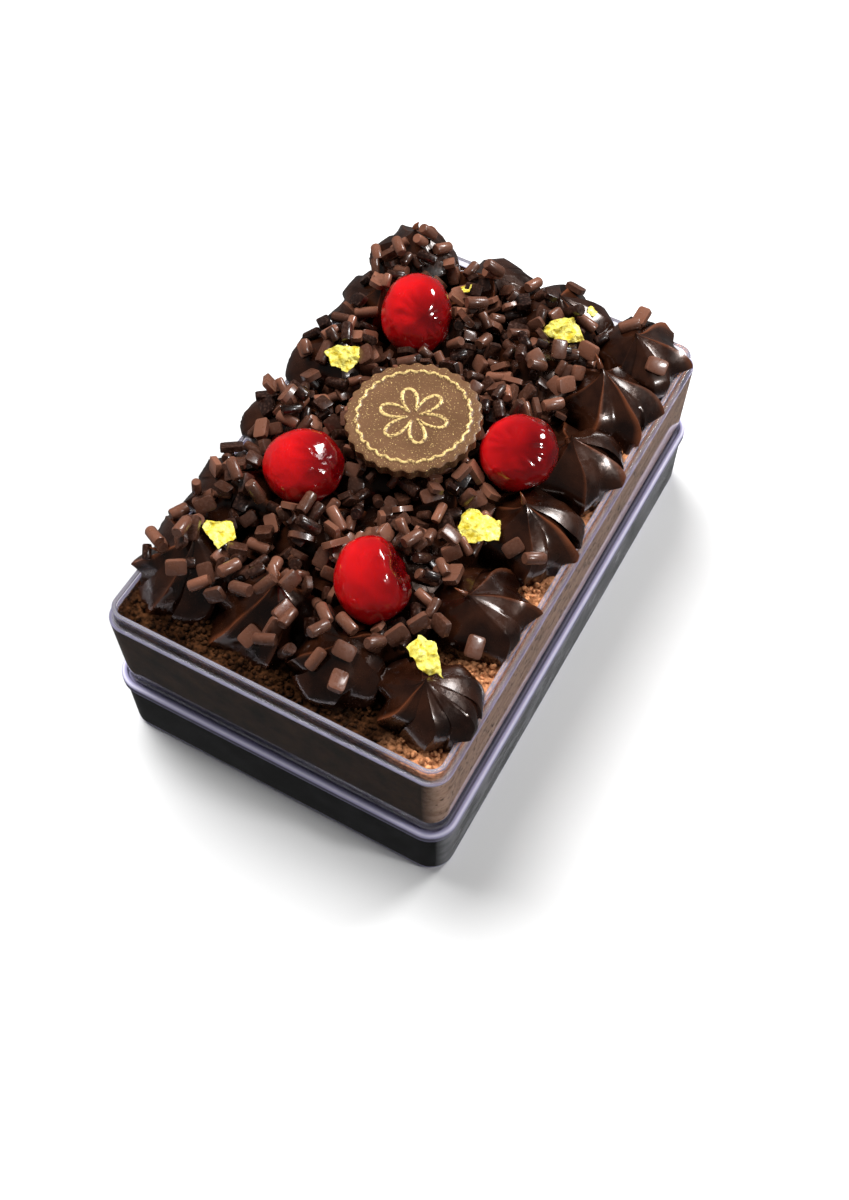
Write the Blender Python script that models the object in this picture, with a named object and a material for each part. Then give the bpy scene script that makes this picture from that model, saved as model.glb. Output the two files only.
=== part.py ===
"""Chocolate box cake: a sponge slab set in a clear tub, standing on the tub's upturned lid,
topped with piped ganache stars, chocolate sprinkles, cherries, a chocolate coin and gold leaf.

Metres, +Z up. The origin is the middle of the lid's underside, X runs across the box and
Y along it. The front end of the box is at -Y.
"""
import math
import random

import bmesh
import bpy
from mathutils import Matrix, Vector

MM = 0.001
GAP = 0.3 * MM

# Lid, lying upside down as a tray
TRAY_HEIGHT = 23.6 * MM
TRAY_OVERHANG = 1.7 * MM
TRAY_BEAD_WIDTH = 3.0 * MM
TRAY_BEAD_HEIGHT = 3.6 * MM
TRAY_WALL = 1.3 * MM
TRAY_WALL_INSET = 0.7 * MM
TRAY_DRAFT = 0.1 * MM
TRAY_FLOOR = 1.3 * MM
TRAY_SEAT_DEPTH = 1.0 * MM
BEAD_SLOPE = 0.5 * MM
EDGE_ROUND = 1.6 * MM

# Tub
TUB_WIDTH = 100.0 * MM
TUB_LENGTH = 156.5 * MM
TUB_CORNER = 6.0 * MM
LEAST_CORNER = 1.5 * MM
TUB_BODY_HEIGHT = 28.4 * MM
TUB_DRAFT = 0.5 * MM
TUB_FLOOR = 1.5 * MM
LEDGE_WIDTH = 1.4 * MM
LIP_HEIGHT = 4.3 * MM
LIP_THICKNESS = 1.2 * MM

TUB_BOTTOM = TRAY_HEIGHT - TRAY_SEAT_DEPTH + GAP
LEDGE_Z = TUB_BOTTOM + TUB_BODY_HEIGHT
LIP_TOP = LEDGE_Z + LIP_HEIGHT
WALL_INSET = LEDGE_WIDTH + LIP_THICKNESS
INNER_HALF_X = TUB_WIDTH / 2 - WALL_INSET
INNER_HALF_Y = TUB_LENGTH / 2 - WALL_INSET

# Sponge
SPONGE_BELOW_LIP = 2.0 * MM
SPONGE_TOP = LIP_TOP - SPONGE_BELOW_LIP
SPONGE_CRUST = 0.8 * MM

# Piped stars
STAR_BASE = SPONGE_TOP + GAP
STAR_COLUMN_X = (-37.5 * MM, -12.6 * MM, 12.0 * MM, 36.6 * MM)
STAR_ROW_Y = (66.0 * MM, 44.5 * MM, 21.5 * MM, -4.2 * MM, -30.5 * MM, -57.3 * MM)
FRONT_ROW_SLANT = -0.11
STAR_RADIUS = 14.0 * MM
STAR_OVERHANG = 50.6 * MM
STAR_RIDGES = 6
RIDGE_POINTS = 3
RIDGE_DEPTH = 0.28
RIDGE_FADE = 0.4
STAR_TWIST = 0.5
STAR_LEVELS = (0.38, 0.56, 0.74, 0.89)
OVER_RIM = LIP_TOP + 2 * GAP
STAR_FOOT = 0.86
DOME_FULLNESS = 1.4
DOME_POWER = 1.25

# Sprinkles
FLAKE_SIZE = (5.0 * MM, 4.2 * MM, 1.4 * MM)
ROD_LENGTH = 5.6 * MM
ROD_RADIUS = 1.9 * MM
FLAKE_LIFT = 0.2 * MM
ROD_LIFT = 1.05 * MM
SPRINKLE_TIP = 24.0
SPRINKLE_LEVELS = (0.12, 0.72)
SPRINKLES_ON_BED = 104
SPRINKLE_TRIES = 60
CHERRY_ROOM = 1.6 * MM
COIN_ROOM = 1.2 * MM
LEAF_ROOM = 1.25
LEAF_HEADROOM = 1.3 * MM

# Bed of sprinkles over the inner stars
BED_LEVEL = 8.5 * MM
BED_STAR_RISE = 6.0 * MM
BED_STAR_REACH = 12.0 * MM
BED_STEP = 5.0 * MM

# Cherries, coin and gold leaf, by their middle: x, y and height over the sponge
CHERRY_RADIUS = 10.4 * MM
CHERRY_WIDTHS = (0.97, 1.03)
CHERRY_HEIGHTS = (0.92, 0.97)
CHERRY_TILT = 25.0
DIMPLE_DEPTH = 0.12
DIMPLE_WIDTH = 0.45
CHERRIES = {
    "cherry_back": (-22.6, 40.2, 14.4),
    "cherry_left": (-22.8, -20.0, 13.8),
    "cherry_right": (24.4, 11.0, 13.8),
    "cherry_front": (11.0, -42.0, 14.6),
}
COIN_RADIUS = 18.3 * MM
COIN_THICKNESS = 3.0 * MM
COIN_MIDDLE = (-3.6, 4.8, 16.6)
COIN_TILT = (2.0, -2.5)
COIN_SCALLOPS = 28
COIN_SCALLOP_DEPTH = 0.7 * MM
COIN_INNER_SCALLOP = 0.6
COIN_RIM_INSET = 3.4 * MM
COIN_RIM_WIDTH = 1.0 * MM
COIN_RIM_HEIGHT = 0.5 * MM
LEAF_THICKNESS = 0.35 * MM
LEAF_POINTS = 13
LEAF_TEAR = (0.7, 1.08)
LEAF_WAVE = 0.5 * MM

CORNER_STEPS = 5
SEED = 24


def clear_scene():
    for obj in list(bpy.data.objects):
        bpy.data.objects.remove(obj, do_unlink=True)


def make_material(name, color, roughness, metallic=0.0, alpha=1.0):
    material = bpy.data.materials.new(name)
    material.use_nodes = True
    shader = material.node_tree.nodes["Principled BSDF"]
    shader.inputs["Base Color"].default_value = (*color, 1.0)
    shader.inputs["Roughness"].default_value = roughness
    shader.inputs["Metallic"].default_value = metallic
    shader.inputs["Alpha"].default_value = alpha
    return material


def add_object(name, bm, material, smooth_angle=35.0):
    """Turn a bmesh into a named object with outward faces."""
    bmesh.ops.recalc_face_normals(bm, faces=bm.faces[:])
    mesh = bpy.data.meshes.new(name)
    bm.to_mesh(mesh)
    bm.free()
    mesh.shade_smooth()
    mesh.set_sharp_from_angle(angle=math.radians(smooth_angle))
    mesh.materials.append(material)
    obj = bpy.data.objects.new(name, mesh)
    bpy.context.scene.collection.objects.link(obj)
    return obj


def loft(rings):
    """Closed skin over rings of points, capped at the first and the last."""
    bm = bmesh.new()
    loops = [[bm.verts.new(point) for point in ring] for ring in rings]
    for lower, upper in zip(loops, loops[1:]):
        for i in range(len(lower)):
            bm.faces.new((lower[i - 1], lower[i], upper[i], upper[i - 1]))
    bm.faces.new(reversed(loops[0]))
    bm.faces.new(loops[-1])
    return bm


def box_outline(inset, z):
    """Rounded rectangle, set in from the tub's outer outline at the ledge."""
    half_x = TUB_WIDTH / 2 - inset
    half_y = TUB_LENGTH / 2 - inset
    radius = max(TUB_CORNER - inset, LEAST_CORNER)
    corners = ((1, 1, 0), (-1, 1, 90), (-1, -1, 180), (1, -1, 270))
    points = []
    for sign_x, sign_y, start in corners:
        center = Vector((sign_x * (half_x - radius), sign_y * (half_y - radius), z))
        for step in range(CORNER_STEPS + 1):
            angle = math.radians(start + 90 * step / CORNER_STEPS)
            points.append(center + radius * Vector((math.cos(angle), math.sin(angle), 0)))
    return points


def box_solid(name, profile, material):
    """Solid turned round the box outline: profile holds (inset, height) pairs."""
    return add_object(name, loft([box_outline(inset, z) for inset, z in profile]), material)


def rounded_edge(inset, z):
    """Profile of a rounded edge, from the flat at height z up to the wall at an inset."""
    cut = (1 - math.sqrt(0.5)) * EDGE_ROUND
    return [(inset + EDGE_ROUND, z), (inset + cut, z + cut), (inset, z + EDGE_ROUND)]


def build_tray(material):
    rim = -TRAY_OVERHANG
    wall = rim + TRAY_WALL_INSET
    foot = wall + TRAY_DRAFT
    bead_bottom = TRAY_HEIGHT - TRAY_BEAD_HEIGHT
    seat = TRAY_HEIGHT - TRAY_SEAT_DEPTH
    seat_inset = TUB_DRAFT - 2 * GAP
    bead_inner = rim + TRAY_BEAD_WIDTH + 2 * BEAD_SLOPE
    profile = [
        *rounded_edge(foot, 0.0),
        (wall, bead_bottom),
        (rim, bead_bottom + BEAD_SLOPE),
        (rim, TRAY_HEIGHT - BEAD_SLOPE),
        (rim + BEAD_SLOPE, TRAY_HEIGHT),
        (seat_inset, TRAY_HEIGHT),
        (seat_inset, seat),
        (bead_inner, seat),
        (bead_inner, bead_bottom + BEAD_SLOPE),
        (wall + TRAY_WALL, bead_bottom - BEAD_SLOPE),
        *reversed(rounded_edge(foot + TRAY_WALL, TRAY_FLOOR)),
    ]
    return box_solid("tray", profile, material)


def build_tub(material):
    profile = [
        *rounded_edge(TUB_DRAFT, TUB_BOTTOM),
        (0.0, LEDGE_Z),
        (LEDGE_WIDTH, LEDGE_Z),
        (LEDGE_WIDTH, LIP_TOP),
        (WALL_INSET, LIP_TOP),
        *reversed(rounded_edge(TUB_DRAFT + WALL_INSET, TUB_BOTTOM + TUB_FLOOR)),
    ]
    return box_solid("tub", profile, material)


def build_sponge(material):
    top = WALL_INSET + GAP
    profile = [
        *rounded_edge(top + TUB_DRAFT, TUB_BOTTOM + TUB_FLOOR + GAP),
        (top, SPONGE_TOP - SPONGE_CRUST),
        (top + SPONGE_CRUST, SPONGE_TOP),
    ]
    return box_solid("sponge", profile, material)


class Star:
    """One piped star: its place in the grid, its own cell, height and the lean of its tip."""

    def __init__(self, column, row, height, lean_x, lean_y, turn, sprinkles):
        x = STAR_COLUMN_X[column]
        slant = FRONT_ROW_SLANT * x if row == len(STAR_ROW_Y) - 1 else 0.0
        self.column = column
        self.row = row
        self.middle = Vector((x, STAR_ROW_Y[row] + slant, STAR_BASE))
        self.height = height * MM
        self.lean = Vector((lean_x * MM, lean_y * MM, 0))
        self.turn = math.radians(turn)
        self.sprinkles = sprinkles

    def limits(self):
        """Cell walls as (low x, high x, low y, high y), half a gap inside each boundary."""
        outer_x = STAR_OVERHANG
        outer_y = STAR_OVERHANG + (TUB_LENGTH - TUB_WIDTH) / 2
        xs = [-outer_x] + [sum(pair) / 2 for pair in zip(STAR_COLUMN_X, STAR_COLUMN_X[1:])] + [outer_x]
        ys = [outer_y] + [sum(pair) / 2 for pair in zip(STAR_ROW_Y, STAR_ROW_Y[1:])] + [-outer_y]
        half = GAP / 2
        return (xs[self.column] + half, xs[self.column + 1] - half,
                ys[self.row + 1] + half, ys[self.row] - half)

    def point(self, angle, level):
        """Point on the star's skin; level runs from 0 at the sponge to 1 at the tip."""
        crest = 1 - RIDGE_DEPTH * (1 - RIDGE_FADE * level) * abs(math.sin(STAR_RIDGES * angle / 2))
        dome = math.cos(math.pi / 2 * level ** DOME_FULLNESS) ** DOME_POWER
        foot = min(1.0, STAR_FOOT + (1 - STAR_FOOT) * level / self.rim_level())
        radius = STAR_RADIUS * dome * foot * crest
        heading = angle + self.turn + STAR_TWIST * level
        offset = Vector((radius * math.cos(heading), radius * math.sin(heading), self.height * level))
        return self.fit(self.middle + offset + self.lean * level ** 2)

    def fit(self, point):
        """Keep a point in the star's cell and, below the rim, inside the tub."""
        low_x, high_x, low_y, high_y = self.limits()
        if point.z < OVER_RIM + GAP:
            room_x = INNER_HALF_X - 2 * GAP
            room_y = INNER_HALF_Y - 2 * GAP
            low_x, high_x = max(low_x, -room_x), min(high_x, room_x)
            low_y, high_y = max(low_y, -room_y), min(high_y, room_y)
            inner_corner = TUB_CORNER / 2
            corner = Vector((abs(point.x) - room_x + inner_corner, abs(point.y) - room_y + inner_corner))
            if min(corner) > 0 and corner.length > inner_corner:
                excess = 1 - inner_corner / corner.length
                point.x -= math.copysign(corner.x * excess, point.x)
                point.y -= math.copysign(corner.y * excess, point.y)
        return Vector((min(max(point.x, low_x), high_x), min(max(point.y, low_y), high_y), point.z))

    def rim_level(self):
        """Level of the ring that just clears the tub's rim."""
        return (OVER_RIM - STAR_BASE) / self.height

    def tip(self):
        return self.middle + self.lean + Vector((0, 0, self.height))


# The stars round the edge: column, row, height and tip lean in mm, turn in degrees, sprinkles
STARS = {
    "star_back_1": Star(0, 0, 18.0, -0.5, 1.0, 10, 5),
    "star_back_2": Star(1, 0, 15.0, 1.0, -1.0, 40, 5),
    "star_back_3": Star(2, 0, 15.5, -3.0, 0.0, 25, 3),
    "star_back_4": Star(3, 0, 14.0, -3.0, -2.0, 5, 3),
    "star_left_2": Star(0, 1, 15.5, 1.0, 1.0, 30, 4),
    "star_left_3": Star(0, 2, 16.0, 1.5, 0.0, 50, 4),
    "star_left_4": Star(0, 3, 14.5, 2.0, 1.0, 15, 4),
    "star_left_5": Star(0, 4, 15.5, 1.0, 0.5, 35, 4),
    "star_right_2": Star(3, 1, 15.5, -5.5, 3.0, 20, 1),
    "star_right_3": Star(3, 2, 15.0, -2.5, 1.0, 0, 1),
    "star_right_4": Star(3, 3, 15.0, -3.5, 1.5, 45, 3),
    "star_right_5": Star(3, 4, 14.0, -3.5, -4.0, 20, 2),
    "star_front_1": Star(0, 5, 15.0, 2.0, 2.0, 25, 5),
    "star_front_2": Star(1, 5, 15.0, 3.0, 4.0, 0, 4),
    "star_front_3": Star(2, 5, 15.0, 2.0, -1.0, 30, 4),
    "star_front_4": Star(3, 5, 15.8, -0.5, 0.5, 50, 2),
}


def star_mesh(star):
    steps = STAR_RIDGES * RIDGE_POINTS
    angles = [2 * math.pi * step / steps for step in range(steps)]
    levels = (0.0, star.rim_level(), *STAR_LEVELS)
    bm = loft([[star.point(angle, level) for angle in angles] for level in levels])
    crown = max(bm.faces, key=lambda face: face.calc_center_median().z)
    tip = bmesh.ops.poke(bm, faces=[crown])["verts"][0]
    tip.co = star.tip()
    return bm


def bed_height(x, y):
    """Height of the heaped bed over its foot: a level fill that swells over each inner star."""
    rise = 0.0
    for star_x in STAR_COLUMN_X[1:3]:
        for star_y in STAR_ROW_Y[1:5]:
            reach = min(1.0, math.hypot(x - star_x, y - star_y) / BED_STAR_REACH)
            rise = max(rise, BED_STAR_RISE * math.cos(math.pi / 2 * reach) ** DOME_POWER)
    return BED_LEVEL + rise


def bed_limits():
    """Bed edges: the inner cells' outer walls, half a gap inside."""
    low_x, high_x = (sum(STAR_COLUMN_X[i:i + 2]) / 2 for i in (0, 2))
    high_y, low_y = (sum(STAR_ROW_Y[i:i + 2]) / 2 for i in (0, 4))
    half = GAP / 2
    return low_x + half, high_x - half, low_y + half, high_y - half


def bed_mesh():
    low_x, high_x, low_y, high_y = bed_limits()
    steps_x = round((high_x - low_x) / BED_STEP)
    steps_y = round((high_y - low_y) / BED_STEP)
    bm = bmesh.new()
    bmesh.ops.create_grid(bm, x_segments=steps_x, y_segments=steps_y, size=0.5)
    for vert in bm.verts:
        vert.co.x = (low_x + high_x) / 2 + vert.co.x * (high_x - low_x)
        vert.co.y = (low_y + high_y) / 2 + vert.co.y * (high_y - low_y)
        vert.co.z = STAR_BASE + bed_height(vert.co.x, vert.co.y)
    border = [edge for edge in bm.edges if edge.is_boundary]
    walls = bmesh.ops.extrude_edge_only(bm, edges=border)["geom"]
    for vert in (item for item in walls if isinstance(item, bmesh.types.BMVert)):
        vert.co.z = STAR_BASE
    foot = [edge for edge in bm.edges if edge.is_boundary]
    bmesh.ops.contextual_create(bm, geom=foot)
    return bm


def over_sponge(place):
    x, y, z = place
    return Vector((x * MM, y * MM, z * MM + SPONGE_TOP))


def cherry_mesh(name, swell=0.0):
    """Candied cherry: a ball a little wider than tall, with a dimple, pressed flat at the coin."""
    draw = random.Random(name)
    middle = over_sponge(CHERRIES[name])
    bm = bmesh.new()
    bmesh.ops.create_uvsphere(bm, u_segments=14, v_segments=9, radius=CHERRY_RADIUS + swell)
    stretch = Vector([draw.uniform(*bounds) for bounds in (CHERRY_WIDTHS, CHERRY_WIDTHS, CHERRY_HEIGHTS)])
    dimple = DIMPLE_DEPTH * (CHERRY_RADIUS + swell)
    for vert in bm.verts:
        reach = math.hypot(vert.co.x, vert.co.y) / CHERRY_RADIUS
        if vert.co.z > 0:
            vert.co.z -= dimple * max(0.0, 1 - reach / DIMPLE_WIDTH)
        vert.co = vert.co * stretch
    tilt = Matrix.Rotation(math.radians(draw.uniform(-CHERRY_TILT, CHERRY_TILT)), 4, "X")
    tilt @= Matrix.Rotation(math.radians(draw.uniform(-CHERRY_TILT, CHERRY_TILT)), 4, "Y")
    bmesh.ops.transform(bm, matrix=Matrix.Translation(middle) @ tilt, verts=bm.verts[:])
    coin = over_sponge(COIN_MIDDLE)
    away = (middle - coin).to_2d()
    limit = COIN_RADIUS + 1.5 * GAP - swell
    for vert in bm.verts:
        reach = (vert.co - coin).to_2d().dot(away.normalized())
        if reach < limit:
            vert.co += (limit - reach) * away.normalized().to_3d()
    return bm


def coin_frame():
    tilt = Matrix.Rotation(math.radians(COIN_TILT[0]), 4, "X")
    tilt @= Matrix.Rotation(math.radians(COIN_TILT[1]), 4, "Y")
    return Matrix.Translation(over_sponge(COIN_MIDDLE)) @ tilt


def coin_outline(inset, z):
    """Scalloped circle; the scallops fade out with the inset."""
    steps = COIN_SCALLOPS * 2
    points = []
    for step in range(steps):
        angle = 2 * math.pi * step / steps
        wave = COIN_SCALLOP_DEPTH * (step % 2) * (1 if inset < COIN_RIM_INSET else COIN_INNER_SCALLOP)
        radius = COIN_RADIUS - inset - wave
        points.append(Vector((radius * math.cos(angle), radius * math.sin(angle), z)))
    return points


def coin_mesh():
    half = COIN_THICKNESS / 2
    rim = COIN_RIM_INSET
    profile = [
        (0.0, -half),
        (0.0, half),
        (rim - COIN_RIM_WIDTH, half),
        (rim - COIN_RIM_WIDTH / 2, half + COIN_RIM_HEIGHT),
        (rim, half),
    ]
    bm = loft([coin_outline(inset, z) for inset, z in profile])
    bmesh.ops.transform(bm, matrix=coin_frame(), verts=bm.verts[:])
    return bm


def coin_clearance():
    bm = bmesh.new()
    radius = COIN_RADIUS + 1.5 * GAP
    bmesh.ops.create_cone(bm, cap_ends=True, segments=40, radius1=radius, radius2=radius,
                          depth=COIN_THICKNESS + 3 * GAP)
    bmesh.ops.transform(bm, matrix=coin_frame(), verts=bm.verts[:])
    return bm


# Gold leaf: middle over the sponge and half width in mm, tilt about X and Y in degrees
LEAVES = {
    "leaf_back": ((15.8, 56.4, 13.2), 5.2, (18, 8)),
    "leaf_left": ((-32.3, 16.8, 14.4), 4.8, (22, 14)),
    "leaf_corner": ((-31.2, -48.0, 13.4), 4.9, (-6, 10)),
    "leaf_right": ((24.8, -13.1, 12.0), 6.0, (6, -6)),
    "leaf_front": ((33.2, -56.0, 17.6), 4.8, (14, 6)),
}


def leaf_frame(name):
    place, half_width, tilt = LEAVES[name]
    turn = Matrix.Rotation(math.radians(tilt[0]), 4, "X") @ Matrix.Rotation(math.radians(tilt[1]), 4, "Y")
    return Matrix.Translation(over_sponge(place)) @ turn


def leaf_mesh(name):
    """Torn flake: a fan with a ragged edge and a wavy face, given its thickness."""
    draw = random.Random(name)
    half_width = LEAVES[name][1] * MM
    bm = bmesh.new()
    bmesh.ops.create_circle(bm, cap_ends=True, cap_tris=True, segments=LEAF_POINTS, radius=half_width)
    for vert in bm.verts:
        if vert.co.length > half_width / 2:
            vert.co *= draw.uniform(*LEAF_TEAR)
        vert.co.z += draw.uniform(-LEAF_WAVE, LEAF_WAVE)
    sheet = bmesh.ops.extrude_face_region(bm, geom=bm.faces[:])["geom"]
    lower = [item for item in sheet if isinstance(item, bmesh.types.BMVert)]
    bmesh.ops.translate(bm, vec=(0, 0, -LEAF_THICKNESS), verts=lower)
    bmesh.ops.transform(bm, matrix=leaf_frame(name), verts=bm.verts[:])
    return bm


def islands(bm):
    """The mesh's separate skins, each as a list of faces."""
    left = set(bm.faces)
    skins = []
    while left:
        skin = [left.pop()]
        for face in skin:
            for edge in face.edges:
                for other in edge.link_faces:
                    if other in left:
                        left.remove(other)
                        skin.append(other)
        skins.append(skin)
    return skins


def keep_outer_skin(mesh):
    """Drop loose scraps and fill sealed hollows: only the skin with the most faces stays."""
    bm = bmesh.new()
    bm.from_mesh(mesh)
    skins = sorted(islands(bm), key=len)
    loose = [face for skin in skins[:-1] for face in skin]
    bmesh.ops.delete(bm, geom=loose, context="FACES")
    bm.to_mesh(mesh)
    bm.free()


def combine(obj, operation, pieces):
    """Join the pieces to an object, or cut them from it, and remove them."""
    group = bpy.data.collections.new("pieces")
    bpy.context.scene.collection.children.link(group)
    for piece in pieces:
        group.objects.link(piece)
        bpy.context.scene.collection.objects.unlink(piece)
    boolean = obj.modifiers.new("join", "BOOLEAN")
    boolean.operation = operation
    boolean.operand_type = "COLLECTION"
    boolean.collection = group
    evaluated = obj.evaluated_get(bpy.context.evaluated_depsgraph_get())
    result = bpy.data.meshes.new_from_object(evaluated)
    obj.modifiers.remove(boolean)
    obj.data = result
    keep_outer_skin(result)
    for piece in pieces:
        bpy.data.objects.remove(piece, do_unlink=True)
    bpy.data.collections.remove(group)


def sprinkle_mesh(kind, frame):
    bm = bmesh.new()
    if kind == "flake":
        bmesh.ops.create_cube(bm, size=1.0)
        bmesh.ops.scale(bm, vec=FLAKE_SIZE, verts=bm.verts[:])
    else:
        bmesh.ops.create_cone(bm, cap_ends=True, segments=6, radius1=ROD_RADIUS, radius2=ROD_RADIUS,
                              depth=ROD_LENGTH)
        bmesh.ops.rotate(bm, matrix=Matrix.Rotation(math.pi / 2, 3, "Y"), verts=bm.verts[:])
    bmesh.ops.transform(bm, matrix=frame, verts=bm.verts[:])
    return bm


def sprinkle_frame(draw, kind, place, normal):
    """A sprinkle lying on the skin at a place, turned and tipped at random and a little sunk."""
    lift = FLAKE_LIFT if kind == "flake" else ROD_LIFT
    upright = normal.to_track_quat("Z", "Y").to_matrix().to_4x4()
    spin = Matrix.Rotation(draw.uniform(0, 2 * math.pi), 4, "Z")
    tip = Matrix.Rotation(math.radians(draw.uniform(-SPRINKLE_TIP, SPRINKLE_TIP)), 4, "X")
    return Matrix.Translation(place + normal * lift) @ upright @ spin @ tip


def is_clear(points, limits):
    """Sprinkle corners stay in their cell and off the rim, cherries, coin and leaves."""
    low_x, high_x, low_y, high_y = limits
    coin = coin_frame().inverted()
    for point in points:
        if not (low_x < point.x < high_x and low_y < point.y < high_y and point.z > STAR_BASE):
            return False
        inside = abs(point.x) < INNER_HALF_X - 2 * GAP and abs(point.y) < INNER_HALF_Y - 2 * GAP
        if point.z < OVER_RIM + GAP and not inside:
            return False
        if any((point - over_sponge(place)).length < CHERRY_RADIUS + CHERRY_ROOM for place in CHERRIES.values()):
            return False
        flat = coin @ point
        if flat.to_2d().length < COIN_RADIUS + COIN_ROOM and flat.z > -COIN_THICKNESS:
            return False
        for name, (place, half_width, tilt) in LEAVES.items():
            local = leaf_frame(name).inverted() @ point
            if local.to_2d().length < half_width * MM * LEAF_ROOM and local.z > -LEAF_HEADROOM:
                return False
    return True


def scatter(draw, count, limits, spot, material):
    """Sprinkle objects at random spots on a skin; spot returns a place and the skin's normal."""
    pieces = []
    for number in range(count):
        for attempt in range(SPRINKLE_TRIES):
            kind = draw.choice(("flake", "rod"))
            place, normal = spot(draw)
            bm = sprinkle_mesh(kind, sprinkle_frame(draw, kind, place, normal))
            if is_clear([vert.co for vert in bm.verts] + [place], limits):
                pieces.append(add_object("sprinkle", bm, material))
                break
            bm.free()
    return pieces


def star_spot(star):
    def spot(draw):
        angle = draw.uniform(0, 2 * math.pi)
        level = draw.uniform(*SPRINKLE_LEVELS)
        place = star.point(angle, level)
        along = star.point(angle + 0.2, level) - star.point(angle - 0.2, level)
        up = star.point(angle, level + 0.1) - place
        return place, along.cross(up).normalized()
    return spot


def bed_spot(draw):
    low_x, high_x, low_y, high_y = bed_limits()
    x = draw.uniform(low_x, high_x)
    y = draw.uniform(low_y, high_y)
    step = 1.0 * MM
    rise_x = (bed_height(x + step, y) - bed_height(x - step, y)) / (2 * step)
    rise_y = (bed_height(x, y + step) - bed_height(x, y - step)) / (2 * step)
    return Vector((x, y, STAR_BASE + bed_height(x, y))), Vector((-rise_x, -rise_y, 1)).normalized()


def clearances(material):
    """Slightly swollen copies of the cherries and the coin, to cut room for them."""
    cutters = [add_object("clearance", cherry_mesh(name, swell=1.2 * GAP), material) for name in CHERRIES]
    cutters.append(add_object("clearance", coin_clearance(), material))
    for cutter in cutters:
        cutter.hide_render = True
        cutter.display_type = "WIRE"
    return cutters


def build_topping(name, bm, limits, spot, count, ganache, draw):
    """Cut room for what lies on a topping, then fuse its sprinkles on."""
    obj = add_object(name, bm, ganache)
    combine(obj, "DIFFERENCE", clearances(ganache))
    pieces = scatter(draw, count, limits, spot, ganache)
    combine(obj, "UNION", pieces)
    return obj


def main():
    clear_scene()
    smoky = make_material("smoky_plastic", (0.10, 0.10, 0.12), 0.12, alpha=0.6)
    clear = make_material("clear_plastic", (0.80, 0.78, 0.86), 0.08, alpha=0.35)
    crumb = make_material("crumb", (0.13, 0.055, 0.028), 0.9)
    ganache = make_material("ganache", (0.035, 0.014, 0.009), 0.25)
    candied = make_material("candied_cherry", (0.55, 0.005, 0.008), 0.08)
    chocolate = make_material("milk_chocolate", (0.26, 0.12, 0.06), 0.4)
    gold = make_material("gold_leaf", (0.95, 0.72, 0.12), 0.3, metallic=1.0)

    build_tray(smoky)
    build_tub(clear)
    build_sponge(crumb)
    draw = random.Random(SEED)
    for name, star in STARS.items():
        build_topping(name, star_mesh(star), star.limits(), star_spot(star), star.sprinkles, ganache, draw)
    build_topping("sprinkle_bed", bed_mesh(), bed_limits(), bed_spot, SPRINKLES_ON_BED, ganache, draw)
    for name in CHERRIES:
        add_object(name, cherry_mesh(name), candied)
    add_object("coin", coin_mesh(), chocolate)
    for name in LEAVES:
        add_object(name, leaf_mesh(name), gold)


main()
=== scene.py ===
# %% [markdown]
# A small chocolate cake in a clear tub. The tub stands on its own upturned lid. On the dark sponge
# are piped ganache stars, a heap of chocolate sprinkles, candied cherries, a chocolate coin and
# torn gold leaf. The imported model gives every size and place. This file dresses it, one piece at a
# time, and each step first says what the real thing is and why it is made this way.

# %% Load the fixed frame
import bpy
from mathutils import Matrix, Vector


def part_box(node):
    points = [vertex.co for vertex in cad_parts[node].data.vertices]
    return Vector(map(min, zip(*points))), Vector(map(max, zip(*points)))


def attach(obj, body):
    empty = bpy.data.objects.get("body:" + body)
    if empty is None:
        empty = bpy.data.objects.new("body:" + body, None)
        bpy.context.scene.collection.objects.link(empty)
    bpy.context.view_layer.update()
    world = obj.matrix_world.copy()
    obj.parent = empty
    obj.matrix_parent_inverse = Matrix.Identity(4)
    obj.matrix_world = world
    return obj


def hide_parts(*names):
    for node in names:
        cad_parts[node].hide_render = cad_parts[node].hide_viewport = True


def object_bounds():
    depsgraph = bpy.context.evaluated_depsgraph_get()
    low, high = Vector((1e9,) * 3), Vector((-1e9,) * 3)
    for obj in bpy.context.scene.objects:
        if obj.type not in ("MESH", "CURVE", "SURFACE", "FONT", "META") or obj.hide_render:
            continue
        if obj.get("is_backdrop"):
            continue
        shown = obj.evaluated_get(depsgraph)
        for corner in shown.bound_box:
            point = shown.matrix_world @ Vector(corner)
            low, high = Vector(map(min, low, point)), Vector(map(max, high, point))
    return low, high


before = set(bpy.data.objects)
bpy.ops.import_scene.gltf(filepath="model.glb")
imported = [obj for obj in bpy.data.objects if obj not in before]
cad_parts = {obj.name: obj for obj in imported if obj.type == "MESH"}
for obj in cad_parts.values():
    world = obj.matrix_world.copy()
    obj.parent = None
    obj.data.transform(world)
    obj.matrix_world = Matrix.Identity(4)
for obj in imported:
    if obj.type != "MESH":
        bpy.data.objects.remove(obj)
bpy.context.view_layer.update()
print("nodes in the frame:", len(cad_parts))

# %% Modules and units
import math
import random

import bmesh
import bpy
import numpy as np
from mathutils import Matrix, Vector, noise
from mathutils.bvhtree import BVHTree

MM = 0.001

# %% [markdown]
# Every piece ends the same way: its faces are turned outwards, and the bmesh becomes a mesh object
# at the origin, with smooth faces, a material, the body it rides on and the plain solids that it
# stands for. One helper does that, so the cells below hold only the shapes.


# %% Turn a bmesh into a finished piece
def add_object(name, data):
    made = bpy.data.objects.new(name, data)
    bpy.context.scene.collection.objects.link(made)
    return made


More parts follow.
